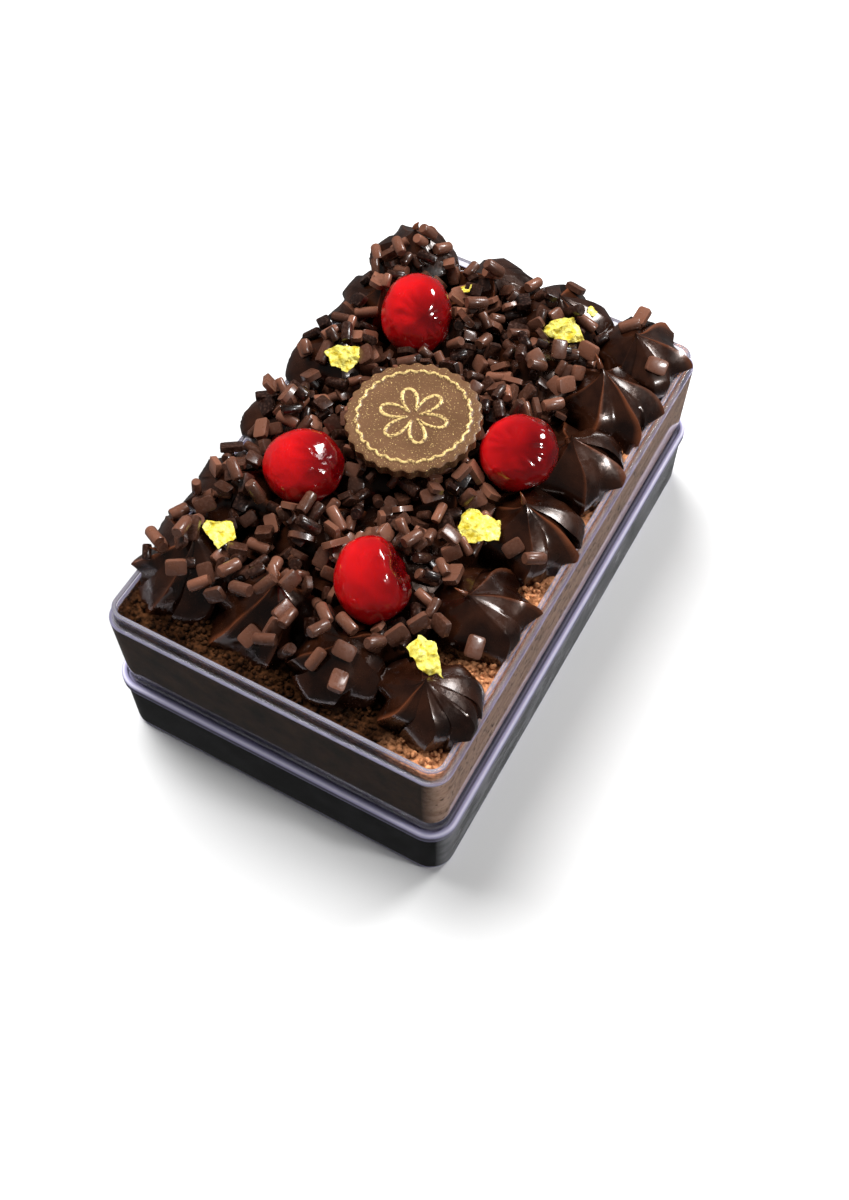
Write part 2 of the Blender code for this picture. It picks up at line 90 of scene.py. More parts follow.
def finish_piece(name, bm, material, nodes=(), smooth_angle=None):
    bmesh.ops.recalc_face_normals(bm, faces=bm.faces[:])
    mesh = bpy.data.meshes.new(name)
    bm.to_mesh(mesh)
    bm.free()
    mesh.shade_smooth()
    if smooth_angle:
        mesh.set_sharp_from_angle(angle=math.radians(smooth_angle))
    mesh.materials.append(material)
    piece = add_object(name, mesh)
    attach(piece, "root")
    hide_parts(*nodes)
    print(name, len(mesh.polygons), "faces")
    return piece


# %% [markdown]
# The finishes are built from a few nodes each: noise on the piece's own coordinates for what varies
# over the surface, and plain numbers on the shader for what doesn't. These helpers keep the node
# graphs short to read.


# %% Material helpers
def set_inputs(node, **values):
    """Give each input, with _ for a blank in its name, a plain value or another node's output."""
    for name, value in values.items():
        socket = node.inputs[name.replace("_", " ")]
        if isinstance(value, bpy.types.NodeSocket):
            node.id_data.links.new(value, socket)
        else:
            socket.default_value = value


def add_node(tree, kind, **values):
    node = tree.nodes.new(kind)
    set_inputs(node, **values)
    return node


def new_finish(name, **settings):
    material = bpy.data.materials.new(name)
    material.use_nodes = True
    shader = material.node_tree.nodes["Principled BSDF"]
    set_inputs(shader, **settings)
    return material, material.node_tree, shader


def noise_field(tree, scale, detail=3.0, stretch=None):
    """Noise in cycles per metre, drawn out along the object's axes where stretch gives numbers."""
    place = tree.nodes.new("ShaderNodeTexCoord").outputs["Object"]
    if stretch:
        place = add_node(tree, "ShaderNodeMapping", Vector=place, Scale=stretch).outputs["Vector"]
    return add_node(tree, "ShaderNodeTexNoise", Vector=place, Scale=scale, Detail=detail).outputs["Fac"]


def stepped(value, low, high, from_low=0.35, from_high=0.65):
    """Stretch a pattern to the numbers that a socket wants."""
    return add_node(value.id_data, "ShaderNodeMapRange", Value=value, From_Min=from_low,
                    From_Max=from_high, To_Min=low, To_Max=high).outputs["Result"]


def mixed(factor, first, second):
    """Two colours, or colour sockets, mixed by a pattern."""
    node = factor.id_data.nodes.new("ShaderNodeMix")
    node.data_type = "RGBA"
    set_inputs(node, Factor=factor)
    targets = [socket for socket in node.inputs if socket.type == "RGBA"]
    for target, color in zip(targets, (first, second)):
        if isinstance(color, tuple):
            target.default_value = (*color, 1.0)
        else:
            node.id_data.links.new(color, target)
    return next(socket for socket in node.outputs if socket.type == "RGBA")


def combined(operation, first, second):
    node = first.id_data.nodes.new("ShaderNodeMath")
    node.operation = operation
    for target, value in zip(node.inputs, (first, second)):
        node.id_data.links.new(value, target)
    return node.outputs[0]


def attribute(tree, name):
    node = tree.nodes.new("ShaderNodeAttribute")
    node.attribute_name = name
    return node.outputs["Fac"]


def rising(tree, axis, low, high):
    """A number that goes from 0 to 1 between two places along an axis of the object."""
    place = tree.nodes.new("ShaderNodeTexCoord").outputs["Object"]
    split = add_node(tree, "ShaderNodeSeparateXYZ", Vector=place)
    return stepped(split.outputs[axis], 0.0, 1.0, low, high)


def bump(height, strength, distance):
    return add_node(height.id_data, "ShaderNodeBump", Height=height, Strength=strength,
                    Distance=distance).outputs["Normal"]


# %% [markdown]
# The camera comes first, so that each piece can be judged against the photograph as it is made. The
# box was looked at from the front, a little to its right and well above. A lens of 43.5 mm on a
# 36 mm sensor, 0.4 m away, gives the photograph's perspective.

# %% Camera
CAMERA_PLACE = Vector((116.73, -205.62, 370.57)) * MM
CAMERA_YAW = 0.5087
CAMERA_PITCH = 1.0142
CAMERA_ROLL = -0.0039
LENS = 43.5
SENSOR = 36.0

camera_data = bpy.data.cameras.new("photo_view")
camera_data.lens = LENS
camera_data.sensor_width = SENSOR
camera_data.clip_start = 0.01
camera = add_object("photo_view", camera_data)
camera_turn = Matrix.Rotation(CAMERA_YAW, 4, "Z")
camera_turn @= Matrix.Rotation(math.pi / 2 - CAMERA_PITCH, 4, "X")
camera_turn @= Matrix.Rotation(CAMERA_ROLL, 4, "Z")
camera.matrix_world = Matrix.Translation(CAMERA_PLACE) @ camera_turn
bpy.context.scene.camera = camera
print("camera at", [round(c, 3) for c in CAMERA_PLACE])

# %% [markdown]
# The highlights on the cherries sit at their upper right, which puts a small bright light behind
# the box, a little to its right. The shadow is soft and lies on the right and in front, so a broad
# even light comes from high on the left. It only fills: it is hidden from reflections, as is the
# floor, or the dark ganache would look grey. A sun does this best, since it lights the whole floor
# alike. The room is white to the eye and dim as a light, so that dark things stay dark.


# %% Floor, lights and world
LIGHT_DISTANCE = 0.9
FLOOR_REACH = 20.0
ROOM_LIGHT = 0.10


def add_light(name, kind, direction, energy, **settings):
    """A light that looks at the origin from this direction."""
    data = bpy.data.lights.new(name, kind)
    data.energy = energy
    for setting, value in settings.items():
        setattr(data, setting, value)
    light = add_object(name, data)
    light.location = Vector(direction).normalized() * LIGHT_DISTANCE
    light.rotation_euler = light.location.to_track_quat("Z", "Y").to_euler()
    return light


floor_bm = bmesh.new()
bmesh.ops.create_grid(floor_bm, x_segments=1, y_segments=1, size=FLOOR_REACH)
floor_mesh = bpy.data.meshes.new("floor")
floor_bm.to_mesh(floor_mesh)
floor_bm.free()
floor_finish, _, _ = new_finish("pale_floor", Base_Color=(0.62, 0.62, 0.62, 1), Roughness=0.7)
floor_mesh.materials.append(floor_finish)
floor = add_object("floor", floor_mesh)
floor.visible_glossy = False
floor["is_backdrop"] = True

add_light("key_behind", "AREA", (0.37, 0.77, 0.72), 5.8, shape="DISK", size=0.28)
add_light("strip_right", "AREA", (0.85, 0.05, 0.75), 2.6, shape="DISK", size=0.10)
fill = add_light("fill_left", "SUN", (-0.60, 0.28, 1.0), 6.2, angle=math.radians(40))
fill.visible_glossy = False

world = bpy.data.worlds.new("studio")
bpy.context.scene.world = world
world.use_nodes = True
seen = world.node_tree.nodes.new("ShaderNodeLightPath").outputs["Is Camera Ray"]
set_inputs(world.node_tree.nodes["Background"], Color=(1.0, 1.0, 1.0, 1.0),
           Strength=stepped(seen, ROOM_LIGHT, 1.0, 0.0, 1.0))
bpy.context.scene.view_settings.view_transform = "Standard"
print("lights:", [light.name for light in bpy.data.lights])

# %% [markdown]
# The tub and its lid are injection moulded from clear styrene. Their outline is a rectangle with
# round corners, and their section is a thin wall with a ledge and a lip. So each is made by
# pulling the outline along its section: a rounded plate, its border extruded from one section
# point to the next, and the last border filled. A live Bevel softens the moulded edges.

# %% Sizes of the tub and lid, read from the frame
tray_low, tray_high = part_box("tray")
tub_low, tub_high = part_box("tub")
TUB_CORNER = 6.0 * MM
CORNER_SEGMENTS = 10
LIP_HEIGHT = 4.3 * MM
LEDGE_WIDTH = 1.4 * MM
LIP_THICKNESS = 1.2 * MM
TUB_FLOOR = 1.5 * MM
TUB_DRAFT = 0.5 * MM
EDGE_ROUND = 1.6 * MM
FOOT_ROUND = 0.8 * MM
WALL_INSET = LEDGE_WIDTH + LIP_THICKNESS
LIP_TOP = tub_high.z
LEDGE_Z = LIP_TOP - LIP_HEIGHT
CORE_X = tub_high.x - TUB_CORNER
CORE_Y = tub_high.y - TUB_CORNER
print("tub from", round(tub_low.z / MM, 1), "to", round(LIP_TOP / MM, 1), "mm high")


# %% Pull a rounded outline along a section
def set_on_outline(vert, inset, z):
    """Put a vertex on the outline that lies this far inside the tub's own."""
    core = Vector((min(max(vert.co.x, -CORE_X), CORE_X), min(max(vert.co.y, -CORE_Y), CORE_Y)))
    outward = (vert.co.to_2d() - core).normalized()
    place = core + outward * (TUB_CORNER - inset)
    vert.co = (place.x, place.y, z)


def rounded_plate():
    bm = bmesh.new()
    bmesh.ops.create_grid(bm, x_segments=1, y_segments=1, size=1.0)
    bmesh.ops.scale(bm, vec=(CORE_X + TUB_CORNER, CORE_Y + TUB_CORNER, 1.0), verts=bm.verts[:])
    bmesh.ops.bevel(bm, geom=bm.verts[:], affect="VERTICES", offset=TUB_CORNER, segments=CORNER_SEGMENTS,
                    profile=0.5, material=-1)
    return bm


def border_of(parts):
    return [part for part in parts if isinstance(part, bmesh.types.BMEdge) and part.is_boundary]


def extruded(bm, border):
    """The new vertices and the new border that come of extruding a border."""
    made = bmesh.ops.extrude_edge_only(bm, edges=border)["geom"]
    return [part for part in made if isinstance(part, bmesh.types.BMVert)], border_of(made)


def pull_section(bm, section):
    """Extrude the border through the section's (inset, height, painted highlight) points, then close it."""
    edge_highlight_layer = bm.verts.layers.float.new("edge")
    border = border_of(bm.edges)
    for inset, z, *edge_highlight in section:
        verts, border = extruded(bm, border)
        for vert in verts:
            set_on_outline(vert, inset, z)
            vert[edge_highlight_layer] = edge_highlight[0] if edge_highlight else 0.0
    bmesh.ops.contextual_create(bm, geom=border)


def arc_section(inset, z, radius, steps=5):
    """A quarter turn in the section, from the flat at height z up to the wall at the inset."""
    turns = [math.pi / 2 * step / steps for step in range(steps + 1)]
    return [(inset + radius * (1 - math.sin(turn)), z + radius * (1 - math.cos(turn))) for turn in turns]


MOULD_ANGLE = 35


def soften_edges(piece, width):
    bevel = piece.modifiers.new("moulded_edges", "BEVEL")
    bevel.width = width
    bevel.segments = 3
    bevel.limit_method = "ANGLE"
    bevel.angle_limit = math.radians(MOULD_ANGLE)


# %% [markdown]
# Clear styrene shows as bright lines where light leaves at its edges, faintly violet, and is nearly
# invisible between them. Full transmission with the plastic's index gives the lines. A vertex
# attribute called edge is bright on the lines of the lip, the ledge and the rim, and paints violet
# and near white highlights into the colour there. The lid is the same clear plastic, but it was seen
# against something dark, so its walls are painted near black with the shade and dark surroundings
# seen through them, and its right side carries mottled grey painted reflections.

# %% Finishes of the two plastics
EDGE_HIGHLIGHT_VIOLET = (0.32, 0.30, 0.46)
EDGE_HIGHLIGHT_WHITE = (0.82, 0.80, 0.92)


def paint_edge_highlights(tree, shader, walls, clearness):
    """Painted highlight: violet, then nearly white, towards the edges, where the plastic also looks less
    clear.
    """
    edge = attribute(tree, "edge")
    violet = mixed(stepped(edge, 0.0, 1.0, 0.0, 0.55), walls, EDGE_HIGHLIGHT_VIOLET)
    painted_highlight_tint = mixed(stepped(edge, 0.0, 1.0, 0.55, 1.0), violet, EDGE_HIGHLIGHT_WHITE)
    clear = stepped(edge, clearness, 0.35 * clearness, 0.0, 0.8)
    set_inputs(shader, Base_Color=painted_highlight_tint, Transmission_Weight=clear)


clear_finish, tree, shader = new_finish("clear_plastic", Roughness=0.05, IOR=1.3)
paint_edge_highlights(tree, shader, (0.96, 0.94, 0.97), 1.0)
set_inputs(shader, Normal=bump(noise_field(tree, 60.0, 2.0), 0.12, 0.4 * MM))

dark_painted_finish, tree, shader = new_finish("smoky_plastic", Roughness=0.12, IOR=1.2)
# Painted shade and dark surroundings make the walls near black and mottled; the right side gets mottled
# grey painted reflections.
dark_mottle = stepped(noise_field(tree, 160.0, 5.0), 0.0, 1.0, 0.42, 0.72)
reflection_mottle = stepped(noise_field(tree, 120.0, 4.0, (1.0, 0.7, 1.6)), 0.0, 1.0, 0.30, 0.75)
shaded_walls = mixed(dark_mottle, (0.0015, 0.0015, 0.0015), (0.010, 0.010, 0.011))
reflecting_right_walls = mixed(reflection_mottle, (0.060, 0.062, 0.064), (0.230, 0.230, 0.245))
painted_reflection_side = rising(tree, "X", tray_high.x - 3.5 * MM, tray_high.x - 1.5 * MM)
paint_edge_highlights(tree, shader, mixed(painted_reflection_side, shaded_walls, reflecting_right_walls), 0.02)
set_inputs(shader, Normal=bump(noise_field(tree, 90.0, 3.0), 0.25, 0.5 * MM))
print("finishes:", clear_finish.name, dark_painted_finish.name)

# %% The tub
LINE = 0.32 * MM

tub_bm = rounded_plate()
for vert in tub_bm.verts:
    set_on_outline(vert, TUB_DRAFT + FOOT_ROUND, tub_low.z)
inner_arc = arc_section(TUB_DRAFT + WALL_INSET, tub_low.z + TUB_FLOOR, EDGE_ROUND)
# The third numbers paint highlight lines on the foot, the ledge and the lip.
pull_section(tub_bm, [
    *[(*point, 0.35) for point in arc_section(TUB_DRAFT, tub_low.z, FOOT_ROUND)[1:]],
    (TUB_DRAFT, tub_low.z + 2 * EDGE_ROUND),
    (0.0, LEDGE_Z - 2 * LINE),
    (0.0, LEDGE_Z - LINE, 0.60),
    (0.0, LEDGE_Z, 0.65),
    (LEDGE_WIDTH, LEDGE_Z, 0.2),
    (LEDGE_WIDTH, LEDGE_Z + LINE),
    (LEDGE_WIDTH, LIP_TOP - LINE),
    (LEDGE_WIDTH, LIP_TOP, 0.75),
    (LEDGE_WIDTH + LINE, LIP_TOP, 0.25),
    (WALL_INSET, LIP_TOP, 0.40),
    (WALL_INSET, LIP_TOP - LINE, 0.2),
    *reversed(inner_arc),
])
tub = finish_piece("clear_tub", tub_bm, clear_finish, ["tub"], MOULD_ANGLE)
soften_edges(tub, 0.22 * MM)

# %% The lid, upturned as a tray
TRAY_OVERHANG = tray_high.x - tub_high.x
BEAD_WIDTH = 4.0 * MM
BEAD_HEIGHT = 3.6 * MM
BEAD_SLOPE = 0.5 * MM
TRAY_WALL = 1.3 * MM
TRAY_WALL_INSET = 0.7 * MM
TRAY_DRAFT = 0.1 * MM
SEAT_DEPTH = 1.0 * MM
TRAY_TOP = tray_high.z
bead_inset = -TRAY_OVERHANG
wall_inset = bead_inset + TRAY_WALL_INSET
foot_inset = wall_inset + TRAY_DRAFT
bead_bottom = TRAY_TOP - BEAD_HEIGHT

tray_bm = rounded_plate()
for vert in tray_bm.verts:
    set_on_outline(vert, foot_inset + EDGE_ROUND, tray_low.z)
# The third numbers paint highlight lines on the foot and along the rim bead.
pull_section(tray_bm, [
    *[(*point, 0.6) for point in arc_section(foot_inset, tray_low.z, EDGE_ROUND)[1:5]],
    (foot_inset, tray_low.z + EDGE_ROUND, 0.60),
    (foot_inset, tray_low.z + EDGE_ROUND + LINE),
    (wall_inset, bead_bottom - 0.4 * MM, 0.0),
    (wall_inset, bead_bottom, 0.10),
    (bead_inset, bead_bottom + BEAD_SLOPE, 0.20),
    (bead_inset, TRAY_TOP - 1.2 * MM, 0.06),
    (bead_inset, TRAY_TOP - BEAD_SLOPE, 0.50),
    (bead_inset + BEAD_SLOPE, TRAY_TOP, 0.85),
    (0.0, TRAY_TOP, 0.20),
    (0.0, TRAY_TOP - SEAT_DEPTH, 0.40),
    (bead_inset + BEAD_WIDTH, TRAY_TOP - SEAT_DEPTH),
    (bead_inset + BEAD_WIDTH, bead_bottom + BEAD_SLOPE),
    (wall_inset + TRAY_WALL, bead_bottom - BEAD_SLOPE),
    *reversed(arc_section(foot_inset + TRAY_WALL, tray_low.z + TRAY_WALL, EDGE_ROUND)),
])
tray = finish_piece("lid_painted_dark", tray_bm, dark_painted_finish, ["tray"], MOULD_ANGLE)
soften_edges(tray, 0.3 * MM)

# %% [markdown]
# The sponge fills the tub, so only its top and, through the walls, its sides show. Its top is open
# crumb: pores of a few tenths of a millimetre up to two, and grains standing up between them. A
# fine grid is drawn down into pores by cell noise and roughened by fractal noise. Its sides reach
# just into the wall, so that no air shows behind the plastic. Small holes are drawn there as dark
# colour, which paints the shade inside them. The colour carries painted light too: the open top is
# lighter on the right, where light falls, and darker on the left in painted shade, and the sides are
# painted dark, with the right side painted light and streaked with painted reflections.

# %% Sponge sizes and relief
sponge_low, sponge_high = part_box("sponge")
SPONGE_TOP = sponge_high.z
INTO_WALL = 0.25 * MM
SPONGE_INSET = WALL_INSET - INTO_WALL
CRUMB_CELL = 0.62 * MM
PORE_SIZE = 2.8 * MM
PORE_DEPTH = 1.7 * MM
GRAIN_HEIGHT = 0.75 * MM


def crumb_relief(place):
    """How far the crumb's top is above or below its level here."""
    near, far = noise.voronoi(place / PORE_SIZE, distance_metric="DISTANCE")[0][:2]
    pore = max(0.0, 1.0 - 2.2 * near) ** 1.5
    rough = noise.fractal(place / (0.9 * MM), 1.0, 2.0, 3)
    swell = noise.noise(place / (9.0 * MM))
    return GRAIN_HEIGHT * (0.7 * rough + 0.6 * swell + 0.5 * (far - near)) - PORE_DEPTH * pore


# %% The sponge
sponge_bm = bmesh.new()
half_x = tub_high.x - SPONGE_INSET
half_y = tub_high.y - SPONGE_INSET
bmesh.ops.create_grid(sponge_bm, x_segments=round(2 * half_x / CRUMB_CELL),
                      y_segments=round(2 * half_y / CRUMB_CELL), size=1.0)
bmesh.ops.scale(sponge_bm, vec=(half_x, half_y, 1.0), verts=sponge_bm.verts[:])
for vert in sponge_bm.verts:
    over = Vector((abs(vert.co.x) - CORE_X, abs(vert.co.y) - CORE_Y))
    if min(over) > 0:
        shrink = max(over) / over.length
        vert.co.x = math.copysign(CORE_X + over.x * shrink, vert.co.x)
        vert.co.y = math.copysign(CORE_Y + over.y * shrink, vert.co.y)
    edge = min(1.0, (half_x - abs(vert.co.x)) / MM, (half_y - abs(vert.co.y)) / MM)
    vert.co.z = SPONGE_TOP - 0.5 * MM + crumb_relief(vert.co) * (0.4 + 0.6 * edge)
pull_section(sponge_bm, [
    (SPONGE_INSET, SPONGE_TOP - 4.0 * MM),
    (SPONGE_INSET + TUB_DRAFT, sponge_low.z + EDGE_ROUND),
    *reversed(arc_section(SPONGE_INSET + TUB_DRAFT, sponge_low.z, EDGE_ROUND)),
])
print("sponge faces:", len(sponge_bm.faces))

# %% Crumb finish
crumb_finish, tree, shader = new_finish("crumb", Roughness=0.85, Specular_IOR_Level=0.1)
speckle = stepped(noise_field(tree, 900.0, 5.0), 0.0, 1.0, 0.35, 0.68)
patch = stepped(noise_field(tree, 140.0, 3.0), 0.0, 1.0, 0.38, 0.62)
# Painted light and shade: the left and front crumb is darker in painted shade, the right lighter where
# light falls.
dark_crumb = mixed(patch, (0.005, 0.002, 0.0008), (0.014, 0.006, 0.0025))
light_crumb = mixed(patch, (0.026, 0.0095, 0.0038), (0.076, 0.029, 0.0115))
shaded_left_crumb = mixed(speckle, dark_crumb, light_crumb)
lit_right_crumb = mixed(speckle, (0.180, 0.068, 0.026), (0.800, 0.360, 0.170))
open_crumb = mixed(rising(tree, "X", 30 * MM, 42 * MM), shaded_left_crumb, lit_right_crumb)
# Painted shade on the sides seen through the wall; painted light on the right side, with painted reflection
# streaks.
reflection_streaks = stepped(noise_field(tree, 520.0, 4.0, (1.0, 0.22, 0.8)), 0.0, 1.0, 0.30, 0.72)
side_mottle = stepped(noise_field(tree, 150.0, 6.0), 0.0, 1.0, 0.30, 0.75)
shaded_sides = mixed(side_mottle, (0.015, 0.0065, 0.0025), (0.042, 0.019, 0.008))
lit_right_sides = mixed(reflection_streaks, (0.300, 0.178, 0.115), (0.500, 0.335, 0.240))
sides = mixed(rising(tree, "X", half_x - 4.0 * MM, half_x - 0.4 * MM), shaded_sides, lit_right_sides)
# Painted shade: dark spots stand for the shade inside pores.
pore_shade = stepped(noise_field(tree, 620.0, 4.0), 0.0, 0.8, 0.56, 0.68)
sides = mixed(pore_shade, sides, (0.022, 0.010, 0.005))
above = rising(tree, "Z", SPONGE_TOP - 3.5 * MM, SPONGE_TOP - 1.5 * MM)
set_inputs(shader, Base_Color=mixed(above, sides, open_crumb),
           Normal=bump(noise_field(tree, 1100.0, 4.0), 0.7, 0.5 * MM))
finish_piece("sponge_slab", sponge_bm, crumb_finish, ["sponge"], 60)

# %% [markdown]
# The stars are ganache pushed through a star nozzle: thin sharp crests, hollow panels between, a
# full shoulder and a drawn tip. A straight profile is spun round the axis to a tube, and every
# vertex is then moved by one rule for the star's skin. The same rule, with each star's own height,
# lean and turn, makes them all. The crest attribute tells the finish where the skin is thin.

# %% Where the stars stand
FOOT_SINK = 1.2 * MM
STAR_BASE = SPONGE_TOP + 0.3 * MM - FOOT_SINK
COLUMN_X = (-37.5, -12.6, 12.0, 36.6)
ROW_Y = (66.0, 44.5, 21.5, -4.2, -30.5, -57.3)
FRONT_SLANT = -0.11
STAR_RADIUS = 14.4 * MM
STAR_REACH = 50.6 * MM
RIDGES = 6
RIDGE_DEPTH = 0.33
TWIST = 0.5
SKIRTS = {(0, 5): 0.24, (1, 5): 0.18}
SHORT_FRONTS = {(3, 5): 0.74}

# column, row, height, lean in x and y (mm), turn (degrees), node
OUTER_STARS = [
    (0, 0, 18.0, -0.5, 1.0, 10, "star_back_1"),
    (1, 0, 15.0, 1.0, -1.0, 40, "star_back_2"),
    (2, 0, 15.5, -3.0, 0.0, 25, "star_back_3"),
    (3, 0, 14.0, -3.0, -2.0, 5, "star_back_4"),
    (0, 1, 15.5, 1.0, 1.0, 30, "star_left_2"),
    (0, 2, 16.0, 1.5, 0.0, 50, "star_left_3"),
    (0, 3, 14.5, 2.0, 1.0, 15, "star_left_4"),
    (0, 4, 15.5, 1.0, 0.5, 35, "star_left_5"),
    (3, 1, 15.5, -5.5, 3.0, 20, "star_right_2"),
    (3, 2, 15.0, -2.5, 1.0, 0, "star_right_3"),
    (3, 3, 15.0, -3.5, 1.5, 45, "star_right_4"),
    (3, 4, 14.0, -3.5, -4.0, 20, "star_right_5"),
    (0, 5, 15.0, 2.0, 2.0, 25, "star_front_1"),
    (1, 5, 15.0, 3.0, 4.0, 0, "star_front_2"),
    (2, 5, 15.0, 2.0, -1.0, 30, "star_front_3"),
    (3, 5, 15.8, -0.5, 0.5, 50, "star_front_4"),
]
INNER_STARS = [(column, row, 14.2, 0.5 * row - 1.0, 1.0 - column, 17 * row + 31 * column, None)
               for row in (1, 2, 3, 4) for column in (1, 2)]
print(len(OUTER_STARS), "outer stars,", len(INNER_STARS), "inner ones")

# %% What rests on the stars
CHERRY_NODES = ("cherry_back", "cherry_left", "cherry_right", "cherry_front")


def middle_and_half(node):
    low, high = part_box(node)
    return (low + high) / 2, (high - low) / 2


cherry_balls = {node: middle_and_half(node) for node in CHERRY_NODES}


def flat_frame(node):
    """Middle and turn of a thin flat solid: its short axis, found from its vertices, is Z."""
    places = np.array([vert.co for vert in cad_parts[node].data.vertices])
    middle = places.mean(axis=0)
    axes = np.linalg.svd(places - middle)[2]
    normal = Vector(axes[2]) if axes[2][2] > 0 else -Vector(axes[2])
    return Matrix.Translation(middle) @ normal.to_track_quat("Z", "Y").to_matrix().to_4x4()


LEAF_NODES = ("leaf_back", "leaf_left", "leaf_corner", "leaf_right", "leaf_front")
coin_frame = flat_frame("coin")
coin_inverse = coin_frame.inverted()
coin_low, coin_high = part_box("coin")
COIN_RADIUS = (coin_high.x - coin_low.x) / 2
COIN_HALF = 1.5 * MM
print("coin radius", round(COIN_RADIUS / MM, 1), "mm")


def make_room(place):
    """Press a point of the ganache out of the cherries and below the coin."""
    for middle, half in cherry_balls.values():
        away = place - middle
        scaled = Vector((away.x / half.x, away.y / half.y, away.z / half.z))
        if scaled.length < 1.0:
            place = middle + away / max(scaled.length, 0.3)
    local = coin_inverse @ place
    if local.to_2d().length < COIN_RADIUS and local.z > -COIN_HALF:
        local.z = -COIN_HALF
        place = coin_frame @ local
    return place


# %% The rule for a star's skin
def star_cell(column, row):
    """A star's own patch of the grid; neighbours press together along its sides."""
    xs = [-STAR_REACH, *[(a + b) / 2 * MM for a, b in zip(COLUMN_X, COLUMN_X[1:])], STAR_REACH]
    reach_y = STAR_REACH + (tub_high.y - tub_high.x)
    ys = [reach_y, *[(a + b) / 2 * MM for a, b in zip(ROW_Y, ROW_Y[1:])], -reach_y]
    overlap = 0.5 * MM
    low_x = xs[column] - (overlap if column > 0 else 0)
    high_x = xs[column + 1] + (overlap if column < 3 else 0)
    low_y = ys[row + 1] - (overlap if row < 5 else 0)
    high_y = ys[row] + (overlap if row > 0 else 0)
    return low_x, high_x, low_y, high_y


def keep_in_tub(place):
    """Below the rim the ganache stays inside the lip, round corners included."""
    room = Vector((tub_high.x - WALL_INSET - 0.4 * MM, tub_high.y - WALL_INSET - 0.4 * MM))
    if place.z < LIP_TOP + 0.5 * MM:
        inner = 3.0 * MM
        place.x = max(-room.x, min(room.x, place.x))
        place.y = max(-room.y, min(room.y, place.y))
        corner = Vector((abs(place.x) - room.x + inner, abs(place.y) - room.y + inner))
        if min(corner) > 0 and corner.length > inner:
            excess = 1 - inner / corner.length
            place.x -= math.copysign(corner.x * excess, place.x)
            place.y -= math.copysign(corner.y * excess, place.y)
    return place


def star_point(star, angle, level):
    """Point of the skin, and how close it is to a crest."""
    column, row, height, lean_x, lean_y, turn, _ = star
    slant = FRONT_SLANT * COLUMN_X[column] if row == 5 else 0.0
    middle = Vector((COLUMN_X[column] * MM, (ROW_Y[row] + slant) * MM, STAR_BASE))
    ridge = int(angle / (2 * math.pi) * RIDGES + 0.5) % RIDGES
    own = noise.cell(Vector((column + 0.5, row + 0.5, ridge + 0.5)))
    valley = abs(math.sin(RIDGES * angle / 2))
    depth = RIDGE_DEPTH * (1 - 0.35 * level) * (0.7 + 0.6 * own) * min(1.0, 0.55 + 3.0 * level)
    crest = 1.06 - depth * valley ** (0.68 + 0.8 * max(0.0, 1 - level / 0.35))
    dome = math.cos(math.pi / 2 * min(1.0, level) ** 1.9) ** 2.7
    foot = min(1.0, 0.95 + 0.05 * level / 0.15)
    sway = noise.noise(Vector((column + ridge, row, 3.0 * level)))
    heading = angle + math.radians(turn) + TWIST * level + 0.16 * (own - 0.5) + 0.34 * sway * level
    spread = Vector((math.cos(heading), math.sin(heading), 0.0))
    wobble = 1 + 0.05 * noise.noise(spread * 1.5 + Vector((column, row, 2.2 * level)))
    skirt = 1 + SKIRTS.get((column, row), 0.0) * max(0.0, 1 - level / 0.35)
    radius = STAR_RADIUS * dome * foot * crest * wobble * skirt
    lean = Vector((lean_x, lean_y, 0.0)) * MM * level ** 2
    lift = lean + Vector((0, 0, (height * MM + FOOT_SINK) * level))
    outward = spread * radius
    if outward.y < 0:
        outward.y *= SHORT_FRONTS.get((column, row), 1.0)
    place = middle + outward + lift
    low_x, high_x, low_y, high_y = star_cell(column, row)
    place.x = min(max(place.x, low_x), high_x)
    place.y = min(max(place.y, low_y), high_y)
    return make_room(keep_in_tub(place)), (1 - valley) ** 3 * (0.25 + 0.75 * own)


# %% Spin a tube and shape it into a star
def spin_profile(bm, points, steps, merge_distance):
    """Spin a line of points once round the Z axis, with its ends on the axis closed."""
    profile = [bm.verts.new(point) for point in points]
    lines = [bm.edges.new(pair) for pair in zip(profile, profile[1:])]
    bmesh.ops.spin(bm, geom=profile + lines, cent=(0, 0, 0), axis=(0, 0, 1), angle=2 * math.pi,
                   steps=steps, use_merge=True)
    bmesh.ops.remove_doubles(bm, verts=bm.verts[:], dist=merge_distance)


STEPS_ROUND = RIDGES * 14
STAR_LEVELS = [0.0, 0.04, 0.08, 0.12, 0.16, 0.21, 0.26, 0.32, 0.38, 0.44, 0.50, 0.56, 0.62, 0.68, 0.74,
               0.80, 0.85, 0.90, 0.94, 0.97, 0.99, 1.0]


def spun_star(star):
    bm = bmesh.new()
    crest_layer = bm.verts.layers.float.new("crest")
    profile = [(1.0 if level < 1.0 else 0.0, 0.0, level) for level in STAR_LEVELS]
    spin_profile(bm, profile, STEPS_ROUND, 1e-5)
    bmesh.ops.contextual_create(bm, geom=border_of(bm.edges))
    for vert in bm.verts:
        angle = math.atan2(vert.co.y, vert.co.x) % (2 * math.pi)
        vert.co, vert[crest_layer] = star_point(star, angle, vert.co.z)
    return bm


# %% [markdown]
# Ganache is nearly black where it is thick. The light that comes through its thin crests, and the
# highlights they catch, are painted into their colour as orange brown. Its skin is smooth and set,
# so the gloss is broad, with slow waves that break up the highlights. Colour follows the crest
# attribute, and roughness and bump come from noise. What is buried under the sprinkles gets the
# same finish without its coat, so that no glint shows there.

